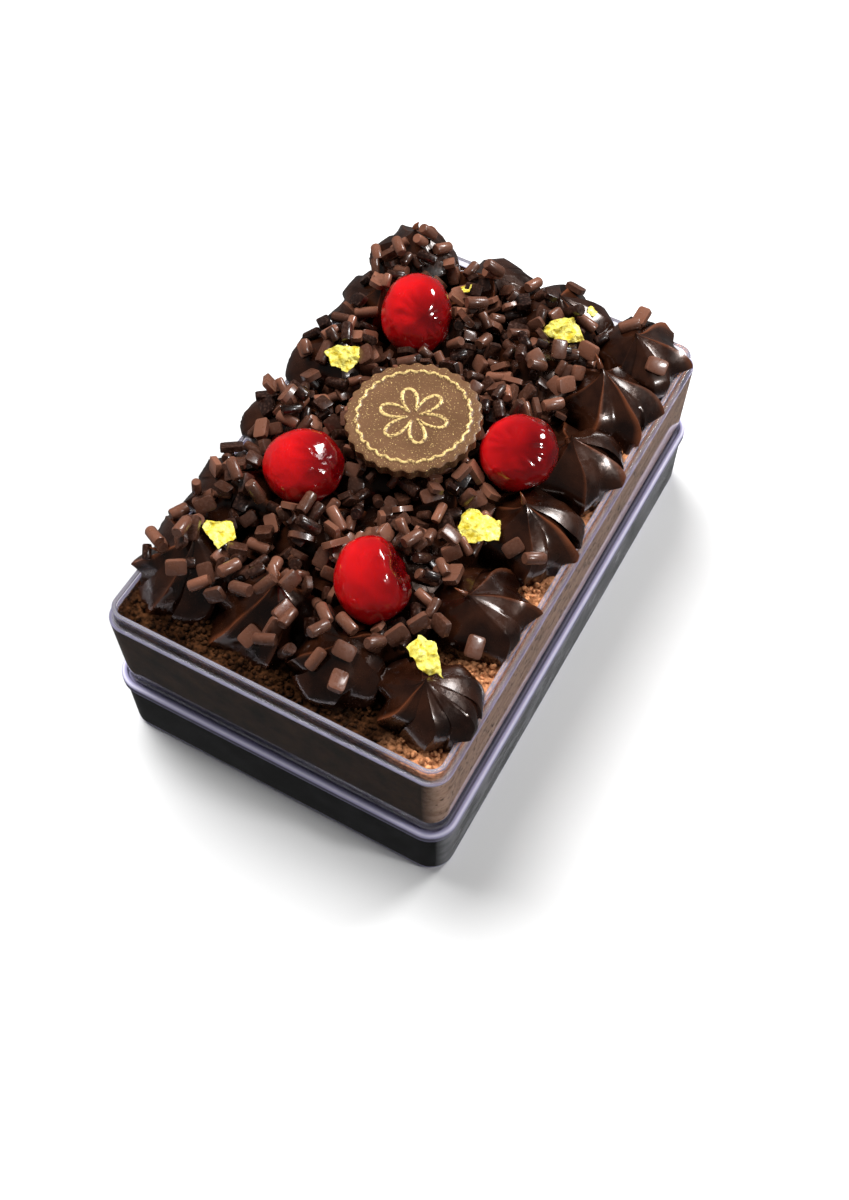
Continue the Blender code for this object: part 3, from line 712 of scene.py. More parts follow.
# %% Ganache finish
def set_ganache(name, coat, waves):
    finish, tree, shader = new_finish(
        name, IOR=1.45, Specular_IOR_Level=0.38, Specular_Tint=(1.0, 0.76, 0.66, 1.0),
        Coat_Weight=coat, Coat_Roughness=0.13)
    crest_light = stepped(attribute(tree, "crest"), 0.0, 1.0, 0.25, 0.95)
    clouds = stepped(noise_field(tree, 120.0), 0.0, 1.0)
    body = mixed(clouds, (0.0056, 0.0013, 0.0005), (0.0235, 0.0070, 0.0030))
    # Painted light: crests get an orange brown that paints the light through them and their highlights.
    set_inputs(shader, Base_Color=mixed(crest_light, body, (0.150, 0.044, 0.018)),
               Roughness=stepped(noise_field(tree, 260.0), 0.18, 0.36),
               Normal=bump(noise_field(tree, 300.0, 2.5), waves, 0.7 * MM))
    return finish


ganache_finish = set_ganache("ganache", 0.7, 0.26)
buried_finish = set_ganache("buried_ganache", 0.0, 0.10)
print("ganache finishes:", ganache_finish.name, buried_finish.name)

# %% The outer stars
star_pieces = []
for star in OUTER_STARS:
    piece = finish_piece("ganache_" + star[-1], spun_star(star), ganache_finish, [star[-1]], 40)
    star_pieces.append(piece)
print(len(star_pieces), "stars piped round the edge")

# %% [markdown]
# Eight more stars stand inside the ring, all but buried. They and a dark filling between them are
# one piece, the core that the sprinkles lie on. It is seen only in the gaps.

# %% The inner stars and the filling between them
bed_low, bed_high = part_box("sprinkle_bed")
bed_middle = (bed_low + bed_high) / 2
FILL_HEIGHT = 6.0 * MM
FILL_OVERLAP = 3.0 * MM
FILL_WAVE = 1.2 * MM
FILL_WAVE_LENGTH = 4.0 * MM


def pour_into(target, source):
    """Add one bmesh to another, by way of a mesh that is then removed."""
    part = bpy.data.meshes.new("part")
    source.to_mesh(part)
    source.free()
    target.from_mesh(part)
    bpy.data.meshes.remove(part)


inner_bm = bmesh.new()
for star in INNER_STARS:
    pour_into(inner_bm, spun_star(star))
fill_bm = bmesh.new()
bmesh.ops.create_grid(fill_bm, x_segments=30, y_segments=52, size=0.5)
for vert in fill_bm.verts:
    vert.co.x = bed_middle.x + vert.co.x * (bed_high.x - bed_low.x + 2 * FILL_OVERLAP)
    vert.co.y = bed_middle.y + vert.co.y * (bed_high.y - bed_low.y + 2 * FILL_OVERLAP)
    vert.co.z = STAR_BASE + FILL_HEIGHT + FILL_WAVE * noise.noise(vert.co / FILL_WAVE_LENGTH)
    vert.co = make_room(vert.co)
for vert in extruded(fill_bm, border_of(fill_bm.edges))[0]:
    vert.co.z = STAR_BASE
bmesh.ops.contextual_create(fill_bm, geom=border_of(fill_bm.edges))
pour_into(inner_bm, fill_bm)
inner = finish_piece("ganache_core", inner_bm, buried_finish, ["sprinkle_bed"], 40)
star_pieces.append(inner)

# %% [markdown]
# Candied cherries are whole fruit boiled in syrup until they are clear: a lumpy ball with a puckered
# dimple where the stalk was, glassy outside and glowing inside. A fine sphere is moved by noise and
# creased round its dimple. Deep subsurface scattering carries the back light through the fruit, and
# a clear coat gives the syrup's small sharp highlights. A glow attribute also paints that light into
# the red: brighter on the side away from the lamp, and darker in the dimple as painted shade.

# %% Cherry finish
cherry_finish, tree, shader = new_finish(
    "candied_cherry", Roughness=0.14, IOR=1.45, Specular_IOR_Level=0.2, Coat_Weight=1.0,
    Coat_Roughness=0.02, Subsurface_Weight=0.40, Subsurface_Scale=0.005)
shader.inputs["Subsurface Radius"].default_value = (1.0, 0.05, 0.02)
painted_glow = stepped(attribute(tree, "painted_glow"), 0.0, 1.0, 0.0, 1.0)
wrinkled = stepped(noise_field(tree, 100.0, 2.0), 0.1, 1.0, 0.50, 0.60)
wrinkles = combined("MULTIPLY", wrinkled, noise_field(tree, 420.0, 2.0))
# Painted glow: the vertex attribute mixes dark red, as painted shade, into bright red, where back light is
# painted through the fruit.
set_inputs(shader, Base_Color=mixed(painted_glow, (0.085, 0.000, 0.001), (0.450, 0.004, 0.006)),
           Normal=bump(wrinkles, 0.42, 1.0 * MM))

# %% The cherries
# Painted glow: the light that came in at the back is painted brighter on the other side of the fruit
PAINTED_GLOW_SIDE = Vector((-0.62, -0.48, 0.10)).normalized()
# For each fruit: the way it is longer and its stretch, where its dimple faces and how deep it is as a
# share of the radius, and how much more painted glow it gets than the others
FRUITS = {
    "cherry_back": ((-0.41, 0.74, 0.53), 1.13, (0.55, -0.5, 0.7), 0.10, 0.14),
    "cherry_left": ((0.87, 0.49, 0.0), 1.06, (0.6, 0.1, 0.8), 0.10, 0.08),
    "cherry_right": ((0.60, 0.70, 0.40), 1.03, (0.1, -0.4, 0.9), 0.12, -0.16),
    "cherry_front": ((-0.60, 0.60, 0.53), 1.12, (0.62, 0.60, 0.40), 0.30, 0.0),
}
PUCKERS = 9
COIN_GAP = 0.3 * MM


def cherry(node):
    middle, half = cherry_balls[node]
    direction, stretch, facing, dimple, clearness = FRUITS[node]
    stalk = Vector(facing).normalized()
    long_way = Vector(direction).normalized()
    seed = Vector((middle.x, middle.y, 0)) / MM
    bm = bmesh.new()
    painted_glow_layer = bm.verts.layers.float.new("painted_glow")
    bmesh.ops.create_icosphere(bm, subdivisions=5, radius=1.0)
    for vert in bm.verts:
        ball = vert.co.normalized()
        near = max(0.0, (ball.dot(stalk) - 0.60) / 0.40)
        around = math.atan2(ball.cross(stalk).z, ball.cross(stalk).x)
        pucker = 0.02 * math.sin(PUCKERS * around) * near * (1 - near) * 4
        lumps = 0.055 * noise.noise(ball * 1.5 + seed) + 0.014 * noise.noise(ball * 4.5 + seed)
        size = 1.0 - dimple * near ** 1.5 + pucker + lumps
        vert.co = Vector((ball.x * half.x, ball.y * half.y, ball.z * half.z)) * size
        vert.co += long_way * vert.co.dot(long_way) * (stretch - 1)
        # Painted glow: brighter away from the lamp, darker in the dimple as painted shade, plus each
        # fruit's own offset.
        vert[painted_glow_layer] = (0.60 + 0.60 * ball.dot(PAINTED_GLOW_SIDE) + 0.22 * noise.noise(ball * 2.2 + seed)
                            - 0.35 * near + clearness)
        vert.co += middle
    coin_middle = coin_frame.translation
    away = (middle - coin_middle).to_2d().normalized()
    for vert in bm.verts:
        overlap = COIN_RADIUS + COIN_GAP - (vert.co - coin_middle).to_2d().dot(away)
        if overlap > 0:
            vert.co += (away * overlap).to_3d()
    return bm


for node in CHERRY_NODES:
    finish_piece("candied_" + node, cherry(node), cherry_finish, [node])

# %% [markdown]
# The coin is milk chocolate cast in a mould: a scalloped edge, a thin wavy rim inside it, and a plain
# flower in the middle, drawn as one raised line and brushed with gold dust. A profile is spun to a
# fine disc, and one rule lifts the rim and the flower out of its face and marks them as gilt.

# %% The coin's relief
SCALLOPS = 28
SCALLOP_DEPTH = 0.75 * MM
RIM_RADIUS = 15.1 * MM
RIM_WAVE = 0.35 * MM
RIM_HALF_WIDTH = 0.42 * MM
RIM_HEIGHT = 0.5 * MM
PETALS = 3
PETAL_LENGTH = 9.2 * MM
LINE_HALF_WIDTH = 0.40 * MM
LINE_HEIGHT = 0.38 * MM
RINGS = 52
EDGE_DROP = 0.35 * MM


def coin_relief(radius, angle):
    """Height of the raised lines here, and how much gold dust they hold."""
    rim_here = RIM_RADIUS - RIM_WAVE * math.cos(SCALLOPS * angle)
    rim = math.exp(-((radius - rim_here) / RIM_HALF_WIDTH) ** 2)
    petal = PETAL_LENGTH * abs(math.cos(PETALS * angle)) ** 0.7
    slope = PETAL_LENGTH * PETALS * abs(math.sin(PETALS * angle)) / max(radius, 2.0 * MM)
    away = abs(radius - petal) / math.hypot(1.0, slope)
    line = math.exp(-(away / LINE_HALF_WIDTH) ** 2) if radius > 1.5 * MM else 0.0
    return max(RIM_HEIGHT * rim, LINE_HEIGHT * line), max(rim, line)


# %% The coin
coin_bm = bmesh.new()
gilt_layer = coin_bm.verts.layers.float.new("gilt")
face = [(COIN_RADIUS * step / RINGS, 0, COIN_HALF) for step in range(RINGS + 1)]
side = [(COIN_RADIUS, 0, COIN_HALF * share) for share in (0.6, 0.0, -0.6, -1.0)]
back = [(COIN_RADIUS * share, 0, -COIN_HALF) for share in (0.8, 0.4, 0.0)]
spin_profile(coin_bm, face + side + back, SCALLOPS * 9, 1e-6)
for vert in coin_bm.verts:
    radius = vert.co.to_2d().length
    angle = math.atan2(vert.co.y, vert.co.x)
    scallop = SCALLOP_DEPTH * (1 - math.cos(SCALLOPS * angle)) / 2 * (radius / COIN_RADIUS) ** 12
    if vert.co.z > 0.9 * COIN_HALF:
        lift, vert[gilt_layer] = coin_relief(radius, angle)
        vert.co.z += lift - EDGE_DROP * (radius / COIN_RADIUS) ** 30
    if radius > 0:
        vert.co.x *= (radius - scallop) / radius
        vert.co.y *= (radius - scallop) / radius
    vert.co = coin_frame @ vert.co

# %% Milk chocolate with gold dust
coin_finish, tree, shader = new_finish("milk_chocolate", IOR=1.46)
dust = stepped(noise_field(tree, 2600.0, 2.0), 0.0, 0.8, 0.64, 0.72)
thick_dust = stepped(noise_field(tree, 1500.0, 3.0), 0.0, 1.0, 0.38, 0.56)
gilt = stepped(attribute(tree, "gilt"), 0.0, 1.0, 0.25, 0.7)
gold_here = combined("MAXIMUM", combined("MULTIPLY", gilt, thick_dust), dust)
clouds = stepped(noise_field(tree, 90.0), 0.0, 1.0)
chocolate = mixed(clouds, (0.090, 0.043, 0.019), (0.122, 0.060, 0.029))
set_inputs(shader, Base_Color=mixed(gold_here, chocolate, (0.90, 0.66, 0.27)),
           Metallic=stepped(gold_here, 0.0, 0.45, 0.0, 1.0),
           Roughness=stepped(noise_field(tree, 500.0), 0.36, 0.5),
           Normal=bump(noise_field(tree, 1400.0, 3.0), 0.2, 0.2 * MM))
finish_piece("chocolate_coin", coin_bm, coin_finish, ["coin"], 50)

# %% [markdown]
# The sprinkles are two kinds of cut chocolate: little rounded tiles and short rods. They were
# scattered by hand, so they lie on each other at every angle. A height map of the ganache is kept,
# and each sprinkle is dropped on it: turned to the slope under it, lowered until it first touches,
# pressed in a little, and stamped into the map for the next one.

# %% A height map of what the sprinkles fall on
MAP_CELL = 0.4 * MM
map_x = np.arange(-51.0 * MM, 51.0 * MM, MAP_CELL)
map_y = np.arange(-79.0 * MM, 79.0 * MM, MAP_CELL)


def height_map(pieces, ground):
    heights = np.full((len(map_x), len(map_y)), ground)
    graph = bpy.context.evaluated_depsgraph_get()
    down = Vector((0, 0, -1))
    for piece in pieces:
        tree_of_faces = BVHTree.FromObject(piece, graph)
        corners = [piece.matrix_world @ Vector(corner) for corner in piece.bound_box]
        columns = np.where((map_x > min(c.x for c in corners)) & (map_x < max(c.x for c in corners)))[0]
        rows = np.where((map_y > min(c.y for c in corners)) & (map_y < max(c.y for c in corners)))[0]
        for i in columns:
            for j in rows:
                hit = tree_of_faces.ray_cast(Vector((map_x[i], map_y[j], 0.1)), down)[0]
                if hit and hit.z > heights[i, j]:
                    heights[i, j] = hit.z
    return heights


bare_heights = height_map(star_pieces, SPONGE_TOP - 0.4 * MM)
heap = bare_heights.copy()
print("highest ganache", round(heap.max() / MM, 1), "mm")

# %% Drop one sprinkle on the map
PILE_LIMIT = 3.7 * MM
LONE_LIMIT = 2.6 * MM


def column_span(turn, half, x, y):
    """Map cells under a turned box, with its underside and top over each of them."""
    reach = half.length
    i = slice(*np.searchsorted(map_x, (x - reach, x + reach)))
    j = slice(*np.searchsorted(map_y, (y - reach, y + reach)))
    dx, dy = np.meshgrid(map_x[i] - x, map_y[j] - y, indexing="ij")
    bottom = np.full(dx.shape, -1.0)
    top = np.full(dx.shape, 1.0)
    for axis in range(3):
        along = turn[2][axis] if abs(turn[2][axis]) > 1e-4 else 1e-4
        local = turn[0][axis] * dx + turn[1][axis] * dy
        ends = np.stack([(-half[axis] - local) / along, (half[axis] - local) / along])
        bottom = np.maximum(bottom, ends.min(axis=0))
        top = np.minimum(top, ends.max(axis=0))
    return i, j, bottom, top, bottom < top


def map_cell(x, y, margin=0):
    """The map's cell at a place, kept this many cells away from the map's border."""
    return tuple(min(max(int(np.searchsorted(places, at)), margin), len(places) - margin - 1)
                 for places, at in ((map_x, x), (map_y, y)))


def slope_at(x, y, reach=2.2 * MM):
    step = int(reach / MAP_CELL)
    i, j = map_cell(x, y, step)
    rise_x = (heap[i + step, j] - heap[i - step, j]) / (2 * step * MAP_CELL)
    rise_y = (heap[i, j + step] - heap[i, j - step]) / (2 * step * MAP_CELL)
    return Vector((-rise_x, -rise_y, 1.0)).normalized()


def is_free(matrix, half):
    """No corner of a sprinkle may be in a cherry, the coin, a leaf or the tub's lip."""
    for corner in ((sx, sy, sz) for sx in (-1, 0, 1) for sy in (-1, 0, 1) for sz in (-1, 1)):
        point = matrix @ Vector([s * h for s, h in zip(corner, half)])
        for middle, ball in cherry_balls.values():
            if (point - middle).length < max(ball) + 0.2 * MM:
                return False
        local = coin_inverse @ point
        if local.to_2d().length < COIN_RADIUS + 0.2 * MM and local.z > -COIN_HALF - 0.3 * MM:
            return False
        for inverse, size in leaf_spots:
            local = inverse @ point
            if local.to_2d().length < size and local.z > -0.4 * MM:
                return False
        if point.z < LIP_TOP + 0.4 * MM and (abs(point.x) > lip_room.x or abs(point.y) > lip_room.y):
            return False
        if abs(point.x) > STAR_REACH or abs(point.y) > STAR_REACH + tub_high.y - tub_high.x:
            return False
    return True


lip_room = Vector((tub_high.x - WALL_INSET - 0.3 * MM, tub_high.y - WALL_INSET - 0.3 * MM))
leaf_spots = []
for node in LEAF_NODES:
    low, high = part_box(node)
    leaf_spots.append((flat_frame(node).inverted(), 0.42 * max(high.x - low.x, high.y - low.y)))
print("leaf sizes", [round(size / MM, 1) for _, size in leaf_spots])


def drop_sprinkle(half, x, y, heading, tip, press, pile_limit):
    """Place of a sprinkle that comes to rest here, or None if it would lie on something it can't."""
    upright = slope_at(x, y).to_track_quat("Z", "Y").to_matrix()
    # Half of the sprinkles tip over their long side and half over their short one
    tip_axis = "XY"[int(heading * 1000) % 2]
    turn = upright @ Matrix.Rotation(heading, 3, "Z") @ Matrix.Rotation(tip, 3, tip_axis)
    i, j, bottom, top, covered = column_span(turn, half, x, y)
    if not covered.any():
        return None
    z = (heap[i, j] - bottom)[covered].max() - press
    if (z + top - bare_heights[i, j])[covered].min() > pile_limit:
        return None
    matrix = Matrix.Translation((x, y, z)) @ turn.to_4x4()
    if not is_free(matrix, half):
        return None
    patch = heap[i, j]
    patch[covered] = np.maximum(patch[covered], (z + top)[covered])
    return matrix


# %% Where sprinkles fall thickly
def fade(past, width):
    return max(0.0, 1.0 - max(0.0, past) / width)


def thickness_of_fall(x, y):
    """Chance that a sprinkle lands here: thick in the middle, hardly any on the right and front."""
    left = fade(bed_low.x - 4 * MM - x, 18 * MM)
    right = fade(x - bed_high.x + 1 * MM, 4 * MM)
    back = fade(y - bed_high.y, 12 * MM)
    front = fade(bed_low.y - (4 * MM if x < 22 * MM else 0.0) - y, 12 * MM)
    return left * right * back * front


# %% Scatter the two kinds
rng = random.Random(7)
HALF_SIZE = {"tile": Vector((2.5, 1.85, 0.80)) * MM, "rod": Vector((2.6, 1.45, 1.45)) * MM}
SPRINKLE_COUNT = 480
MOST_TRIES = 9000
TILE_SHARE = 0.5
TIP_SPREAD = 27
placed = {"tile": [], "rod": []}
tries = 0
while sum(map(len, placed.values())) < SPRINKLE_COUNT and tries < MOST_TRIES:
    tries += 1
    x = rng.uniform(-49, 49) * MM
    y = rng.uniform(-75, 75) * MM
    if rng.random() > thickness_of_fall(x, y):
        continue
    kind = "tile" if rng.random() < TILE_SHARE else "rod"
    half = HALF_SIZE[kind] * rng.uniform(0.82, 1.18)
    half.x *= rng.uniform(0.75, 1.20)
    heading = rng.uniform(0, 2 * math.pi)
    tip = math.radians(rng.gauss(0, TIP_SPREAD))
    outside = not (bed_low.x < x < bed_high.x and bed_low.y < y < bed_high.y)
    matrix = drop_sprinkle(half, x, y, heading, tip, rng.uniform(0.7, 1.3) * MM,
                           LONE_LIMIT if outside else PILE_LIMIT)
    if matrix is not None:
        placed[kind].append((matrix, half, rng.random() ** 2.0))
print({kind: len(found) for kind, found in placed.items()}, "after", tries, "tries")

# %% [markdown]
# Some sprinkles on top are plainly seen, and lie alone on the stars. They are listed one by one, each
# dropped at its own place and turned as it is in the photograph.

# %% The sprinkles listed one by one
# kind, x and y in millimetres, heading and tip in degrees, tone
BY_HAND = [
    ("tile", 33.4, 68.6, 60, 50, 0.9), ("rod", 44.4, 67.6, 90, 75, 0.3), ("rod", 31.5, 64.8, -20, 5, 0.7),
    ("tile", 26.5, 48.2, 10, 8, 0.9), ("tile", 26.5, 34.3, -20, 5, 1.0), ("rod", 25.9, 28.0, -10, 0, 0.8),
    ("tile", 18.4, 47.4, 70, 20, 0.6), ("rod", 7.1, 42.6, 75, 0, 0.3), ("rod", 36.4, 6.8, -10, 0, 0.6),
    ("tile", 12.8, -12.6, 5, 6, 0.8), ("tile", 37.1, -17.0, 50, 12, 0.5), ("rod", 43.6, -18.3, -30, 0, 0.5),
    ("tile", 33.8, -48.9, 20, 10, 0.3), ("tile", 43.0, -48.9, 60, 30, 0.6),
    ("tile", 18.4, -71.5, 60, 40, 0.6), ("rod", 4.0, -71.0, 80, 0, 0.2), ("tile", -3.5, -60.8, -5, 5, 0.9),
    ("tile", -2.3, -67.0, 50, 20, 0.5), ("rod", 7.8, -54.4, 80, 10, 0.5), ("rod", 12.6, -57.4, 5, 0, 0.6),
    ("rod", 17.6, -55.8, 60, 10, 0.7), ("rod", 7.8, -59.5, 5, 0, 0.6), ("tile", 3.4, -57.6, -80, 15, 0.4),
    ("rod", -21.6, -57.0, -15, 0, 0.7), ("rod", -29.0, -55.8, 0, 5, 0.7),
    ("tile", -32.0, -64.5, 5, 20, 0.7), ("rod", -25.4, -64.6, 25, 0, 0.9),
    ("tile", -17.3, -68.6, 40, 20, 0.4), ("tile", -6.6, -71.0, 70, 25, 0.6),
    ("tile", -37.3, -3.9, -25, 8, 0.7), ("tile", -42.9, -3.9, -40, 30, 0.7),
    ("tile", -29.0, -5.8, 5, 15, 0.4), ("rod", -36.0, -32.0, -60, 0, 0.5),
    ("rod", -26.6, -36.4, -70, 0, 0.4), ("tile", -7.9, -40.0, -60, 8, 0.4),
    ("rod", -13.5, -33.9, -20, 0, 0.5), ("rod", -43.3, -58.1, 60, 40, 0.8),
    ("rod", -34.0, 67.8, 80, 5, 0.7), ("rod", -28.0, 65.5, -40, 0, 0.8),
    ("tile", -22.0, 67.6, -45, 25, 0.3), ("rod", -10.0, 63.0, -50, 0, 0.5),
    ("rod", -43.6, 54.6, -10, 0, 0.8), ("rod", -37.9, 57.4, 30, 0, 0.7), ("rod", -9.0, 50.5, -20, 0, 0.5),
    ("rod", 1.8, 64.4, 80, 0, 0.9), ("tile", 12.4, 70.0, 30, 20, 0.3), ("tile", 44.2, 55.0, -50, 20, 0.8),
    ("tile", -24.0, -30.0, 20, 5, 0.3), ("tile", 22.0, -22.0, 60, 5, 0.4),
    ("rod", -10.1, -58.2, 60, 10, 0.4), ("tile", -4.7, -55.0, 20, 15, 0.5),
    ("rod", 10.9, -69.2, -70, 10, 0.7), ("rod", -1.2, -72.0, 10, 0, 0.4),
    ("tile", 26.7, -57.5, 30, 10, 0.5), ("rod", 22.1, -60.0, -35, 5, 0.4), ("rod", 22.8, -52.6, 70, 5, 0.6),
    ("tile", 28.5, -50.4, 15, 10, 0.5), ("rod", 25.3, -43.0, 40, 5, 0.4), ("rod", 9.5, -64.6, 30, 5, 0.4),
    ("tile", 15.0, -63.0, -30, 10, 0.6), ("rod", -13.4, -63.4, 50, 0, 0.4),
    ("tile", -8.0, -65.5, 10, 10, 0.8), ("rod", 1.2, -65.2, -10, 5, 0.5), ("rod", -18.2, -61.0, 80, 5, 0.5),
]
READ_LEVEL = LEDGE_Z + 16.0 * MM
SIGHT_STEP = 0.2
HAND_PRESS = 0.8 * MM
HAND_LIMIT = 7.5 * MM
HAND_TONE = 0.8


def heap_under(place):
    return heap[map_cell(place.x, place.y)]


def seen_at(x, y):
    """Follow the line of sight through a spot on the level it was read at, down to the heap."""
    spot = Vector((x, y, READ_LEVEL))
    step = (spot - CAMERA_PLACE).normalized() * SIGHT_STEP * MM
    spot -= 40 * step
    while spot.z > heap_under(spot):
        spot += step
    return spot.x, spot.y


left_out = []
for kind, x, y, heading, tip, tone in BY_HAND:
    half = HALF_SIZE[kind] * rng.uniform(1.04, 1.18)
    matrix = drop_sprinkle(half, *seen_at(x * MM, y * MM), math.radians(heading), math.radians(tip),
                           HAND_PRESS, HAND_LIMIT)
    if matrix is None:
        left_out.append((x, y))
    else:
        placed[kind].append((matrix, half, HAND_TONE * tone))
print("with those laid by hand:", {kind: len(found) for kind, found in placed.items()})
print("no room for:", left_out)

# %% [markdown]
# Hundreds of sprinkles share two shapes, so each shape has only a few dozen faces: a cube with
# rounded corners and a cylinder with softened ends. Copies of each are joined into one mesh. The
# shade attribute gives every sprinkle its own brown, since dark and milk chocolate are mixed.


# %% The two shapes
def soften(bm, edges, width, segments=1):
    bmesh.ops.bevel(bm, geom=edges, affect="EDGES", offset=width, segments=segments, profile=0.5,
                    material=-1)


def rise(edge):
    return abs(edge.verts[0].co.z - edge.verts[1].co.z)


def tile_shape():
    bm = bmesh.new()
    bmesh.ops.create_cube(bm, size=2.0)
    soften(bm, [edge for edge in bm.edges if rise(edge) > 1], 0.34, 2)
    soften(bm, [edge for edge in bm.edges
                if edge.is_manifold and abs(edge.calc_face_angle() - math.pi / 2) < 0.1], 0.16)
    return bm


def rod_shape():
    bm = bmesh.new()
    bmesh.ops.create_cone(bm, cap_ends=True, segments=12, radius1=1.0, radius2=1.0, depth=2.0)
    soften(bm, [edge for edge in bm.edges if rise(edge) < 0.1], 0.16)
    bmesh.ops.rotate(bm, matrix=Matrix.Rotation(math.pi / 2, 3, "Y"), verts=bm.verts[:])
    return bm


# %% Sprinkle finish
sprinkle_finish, tree, shader = new_finish("sprinkle_chocolate", IOR=1.46, Coat_Weight=0.35,
                                           Coat_Roughness=0.12)
bloom = stepped(noise_field(tree, 1500.0, 3.0), 0.0, 0.25, 0.5, 0.7)
chocolate = mixed(attribute(tree, "shade"), (0.0075, 0.0020, 0.0010), (0.220, 0.088, 0.052))
set_inputs(shader, Base_Color=mixed(bloom, chocolate, (0.17, 0.088, 0.064)),
           Roughness=stepped(noise_field(tree, 600.0), 0.24, 0.42),
           Normal=bump(noise_field(tree, 1100.0, 3.0), 0.22, 0.25 * MM))


# %% Join the copies
def join_sprinkles(name, shape, copies):
    template = bpy.data.meshes.new("template")
    shape.to_mesh(template)
    shape.free()
    joined = bmesh.new()
    for matrix, half, _ in copies:
        copy = template.copy()
        copy.transform(matrix @ Matrix.Diagonal((*half, 1.0)))
        joined.from_mesh(copy)
        bpy.data.meshes.remove(copy)
    piece = finish_piece(name, joined, sprinkle_finish, ["sprinkle_bed"], 35)
    shades = np.repeat([tone for _, _, tone in copies], len(template.vertices))
    layer = piece.data.attributes.new("shade", "FLOAT", "POINT")
    layer.data.foreach_set("value", shades.astype(np.float32))
    bpy.data.meshes.remove(template)


join_sprinkles("sprinkle_tiles", tile_shape(), placed["tile"])
join_sprinkles("sprinkle_rods", rod_shape(), placed["rod"])

# %% [markdown]
# Gold leaf is beaten so thin that it crumples as it is laid down and tears at its edges. A fine grid
# is cut along each flake's sides, which keeps the flake's outline best, then pulled out of true and
# folded by noise, and a Solidify modifier gives it a paper's thickness. The heap's map is there by
# now, so each flake is let down on it, and its corners sag. Crumpled as it is, it mirrors nothing
# and looks pale yellow, so only a quarter of its shine is metallic, with creases in the bump.

# %% Gold finish
gold_finish, tree, shader = new_finish("gold_leaf", Metallic=0.25)
glint = stepped(noise_field(tree, 700.0, 4.0), 0.0, 1.0)
set_inputs(shader, Base_Color=mixed(glint, (0.60, 0.44, 0.020), (0.95, 0.88, 0.22)),
           Roughness=stepped(noise_field(tree, 900.0, 3.0), 0.22, 0.48),
           Normal=bump(noise_field(tree, 1300.0, 5.0), 0.8, 0.35 * MM))

# %% The five flakes of leaf
# Corners of each torn flake, in millimetres round its own middle
LEAF_CORNERS = {
    "leaf_back": [(-6.2, -0.7), (-0.4, -4.4), (6.2, -2.2), (2.6, 4.0), (-3.6, 3.0)],
    "leaf_left": [(-5.4, 2.6), (-3.6, -1.6), (0.4, -4.2), (4.6, -0.6), (5.4, 3.2), (-2.2, 3.6)],
    "leaf_corner": [(-4.4, -0.8), (-0.2, -4.6), (4.2, -2.8), (3.2, 3.4), (0.4, 4.6)],
    "leaf_right": [(-6.2, -0.6), (-3.8, -3.6), (2.2, -6.2), (5.0, -2.0), (6.2, 4.2), (0.8, 6.0)],
    "leaf_front": [(-4.6, 1.4), (-0.4, -4.4), (4.4, -5.0), (2.4, 2.8), (-1.6, 5.0)],
}
LEAF_CELLS = 44
LEAF_SPAN = 7.0 * MM
SAG = 1.4 * MM
TEAR = 0.55 * MM
TEAR_LENGTH = 4.0 * MM
FOLD_HEIGHT = 2.0 * MM
LEAF_THICKNESS = 0.06 * MM


def torn_leaf(outline, place):
    bm = bmesh.new()
    bmesh.ops.create_grid(bm, x_segments=LEAF_CELLS, y_segments=LEAF_CELLS, size=LEAF_SPAN)
    corners = [Vector(corner).to_3d() * MM for corner in outline]
    for here, there in zip(corners, corners[1:] + corners[:1]):
        side = there - here
        bmesh.ops.bisect_plane(bm, geom=bm.verts[:] + bm.edges[:] + bm.faces[:], plane_co=here,
                               plane_no=(side.y, -side.x, 0), clear_outer=True)
    bmesh.ops.remove_doubles(bm, verts=bm.verts[:], dist=0.08 * MM)
    seed = place.translation / MM
    for vert in bm.verts:
        spot = vert.co / TEAR_LENGTH
        tear = noise.noise_vector(spot * 2.2 + seed) + 0.35 * noise.noise_vector(spot * 5.5 + seed)
        vert.co += Vector((tear.x, tear.y, 0)) * TEAR
        fold = abs(noise.noise(spot * 0.9 + seed)) + 0.30 * abs(noise.noise(spot * 3.2 + seed))
        vert.co.z = (0.3 - fold) * FOLD_HEIGHT
    bmesh.ops.transform(bm, matrix=place, verts=bm.verts[:])
    drop = max(0.0, min(vert.co.z - heap_under(vert.co) for vert in bm.verts) - 0.1 * MM)
    sight = place.translation - CAMERA_PLACE
    for vert in bm.verts:
        aside = (vert.co - place.translation).length_squared
        vert.co += sight / -sight.z * drop
        vert.co.z -= SAG * aside / LEAF_SPAN ** 2
    return bm


def lay_leaf(name, outline, place, nodes=()):
    flake = finish_piece("gilded_" + name, torn_leaf(outline, place), gold_finish, nodes, 50)
    sheet = flake.modifiers.new("sheet", "SOLIDIFY")
    sheet.thickness = LEAF_THICKNESS


for node in LEAF_NODES:
    lay_leaf(node, LEAF_CORNERS[node], flat_frame(node), [node])

# %% Two flecks of leaf that stayed on the ganache
FLECKS = {"fleck_cherry": (-15.1, 55.9), "fleck_back": (19.9, 65.0)}
FLECK_CORNERS = [(-1.5, -0.6), (0.2, -1.7), (1.5, -0.3), (0.6, 1.8), (-0.9, 1.2)]
FLECK_LIFT = 0.4 * MM
for name, (x, y) in FLECKS.items():
    x, y = seen_at(x * MM, y * MM)
    tilt = slope_at(x, y).to_track_quat("Z", "Y").to_matrix().to_4x4()
    height = heap_under(Vector((x, y))) + FLECK_LIFT
    lay_leaf(name, FLECK_CORNERS, Matrix.Translation((x, y, height)) @ tilt)

# %% [markdown]
# Where the nozzle was pulled away the ganache tore off in thin tails, and some run over the rim or
# between sprinkles. They are so thin that light comes through, and that light is painted into their
# colour as orange brown. Each is a small ring pulled along a bent line and narrowed to a point.

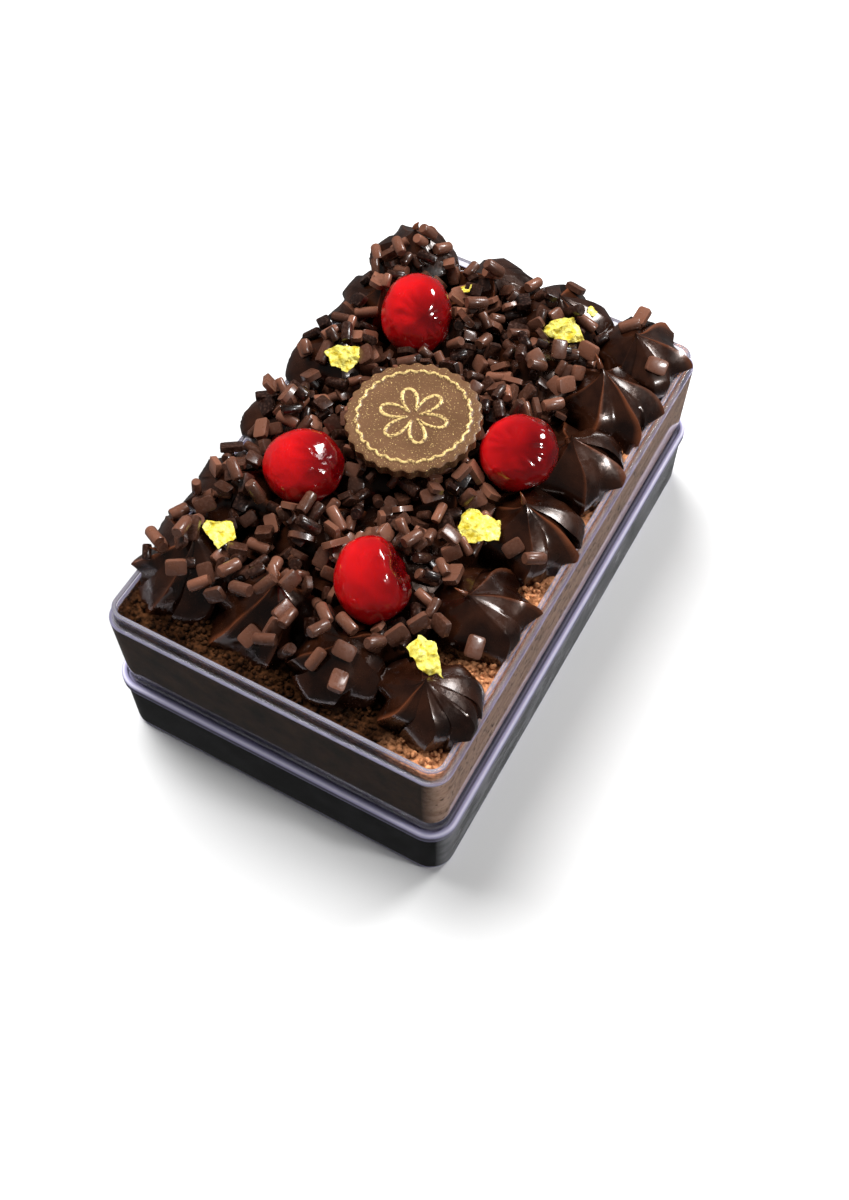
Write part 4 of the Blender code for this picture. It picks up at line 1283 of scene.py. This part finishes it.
# %% Drawn tails
# start, bend and end in millimetres, with the radius at the start
TAILS = [
    ((-41.5, -57.6, 62.0), (-43.6, -58.4, 63.4), (-45.6, -58.8, 63.6), 0.8),
    ((31.0, 47.2, 68.2), (30.0, 47.8, 70.3), (28.4, 48.4, 71.6), 0.9),
    ((33.9, 20.6, 67.2), (33.6, 20.2, 69.4), (34.4, 19.4, 70.6), 0.8),
    ((33.0, -2.9, 67.4), (32.4, -2.2, 69.2), (31.2, -2.0, 70.2), 0.8),
    ((-9.8, -54.2, 67.2), (-8.2, -53.0, 69.4), (-10.4, -52.4, 70.6), 0.9),
    ((32.6, -33.8, 66.2), (31.4, -34.6, 67.8), (29.8, -34.6, 68.2), 0.8),
    ((-38.0, 67.4, 70.4), (-38.3, 67.9, 71.7), (-37.3, 68.7, 72.2), 1.1),
]
RING_SIDES = 10
TAIL_STEPS = 9


def pull_tail(bm, start, bend, end, radius):
    start, bend, end = (Vector(point) * MM for point in (start, bend, end))
    crest_layer = bm.verts.layers.float.get("crest")
    made = bmesh.ops.create_circle(bm, segments=RING_SIDES, radius=radius * MM)["verts"]
    turn = (bend - start).to_track_quat("Z", "Y").to_matrix().to_4x4()
    bmesh.ops.transform(bm, matrix=Matrix.Translation(start) @ turn, verts=made)
    # Crest values paint the light through the thin tail, more of it towards the point.
    for vert in made:
        vert[crest_layer] = 0.5
    ring = list({edge for vert in made for edge in vert.link_edges})
    middle = start
    for step in range(1, TAIL_STEPS + 1):
        share = step / TAIL_STEPS
        target = start * (1 - share) ** 2 + bend * 2 * share * (1 - share) + end * share ** 2
        width = (1 - share) ** 0.8 / (1 - share + 1 / TAIL_STEPS) ** 0.8
        ring_verts, ring = extruded(bm, ring)
        for vert in ring_verts:
            vert.co = target + (vert.co - middle) * max(width, 0.05)
            vert[crest_layer] = 0.5 + 0.5 * share
        middle = target


tails_bm = bmesh.new()
tails_bm.verts.layers.float.new("crest")
for tail in TAILS:
    pull_tail(tails_bm, *tail)
finish_piece("ganache_tails", tails_bm, ganache_finish, ["sprinkle_bed"])

# %% [markdown]
# Loose crumbs lie along the strip of bare sponge at the front and in the corners. They are small
# balls knocked out of round, joined into one mesh.

# %% Loose crumbs
CRUMB_COUNT = 420
CRUMB_SINK = 0.5 * MM
crumb_rng = random.Random(11)
crumbs_bm = bmesh.new()
crumbs = 0
while crumbs < CRUMB_COUNT:
    x = crumb_rng.uniform(-46, 46) * MM
    y = crumb_rng.uniform(-74, 74) * MM
    if heap[map_cell(x, y)] > SPONGE_TOP + 0.2 * MM:
        continue
    size = crumb_rng.uniform(0.3, 0.95) * MM
    spot = Vector((x, y, SPONGE_TOP - CRUMB_SINK + 0.5 * size))
    for vert in bmesh.ops.create_icosphere(crumbs_bm, subdivisions=1, radius=size)["verts"]:
        vert.co *= crumb_rng.uniform(0.65, 1.25)
        vert.co += spot
    crumbs += 1
finish_piece("loose_crumbs", crumbs_bm, crumb_finish, ["sponge"])

# %% Print the size of what is shown
low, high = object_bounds()
print("visual box", [round(c / MM, 1) for c in (*low, *high)])
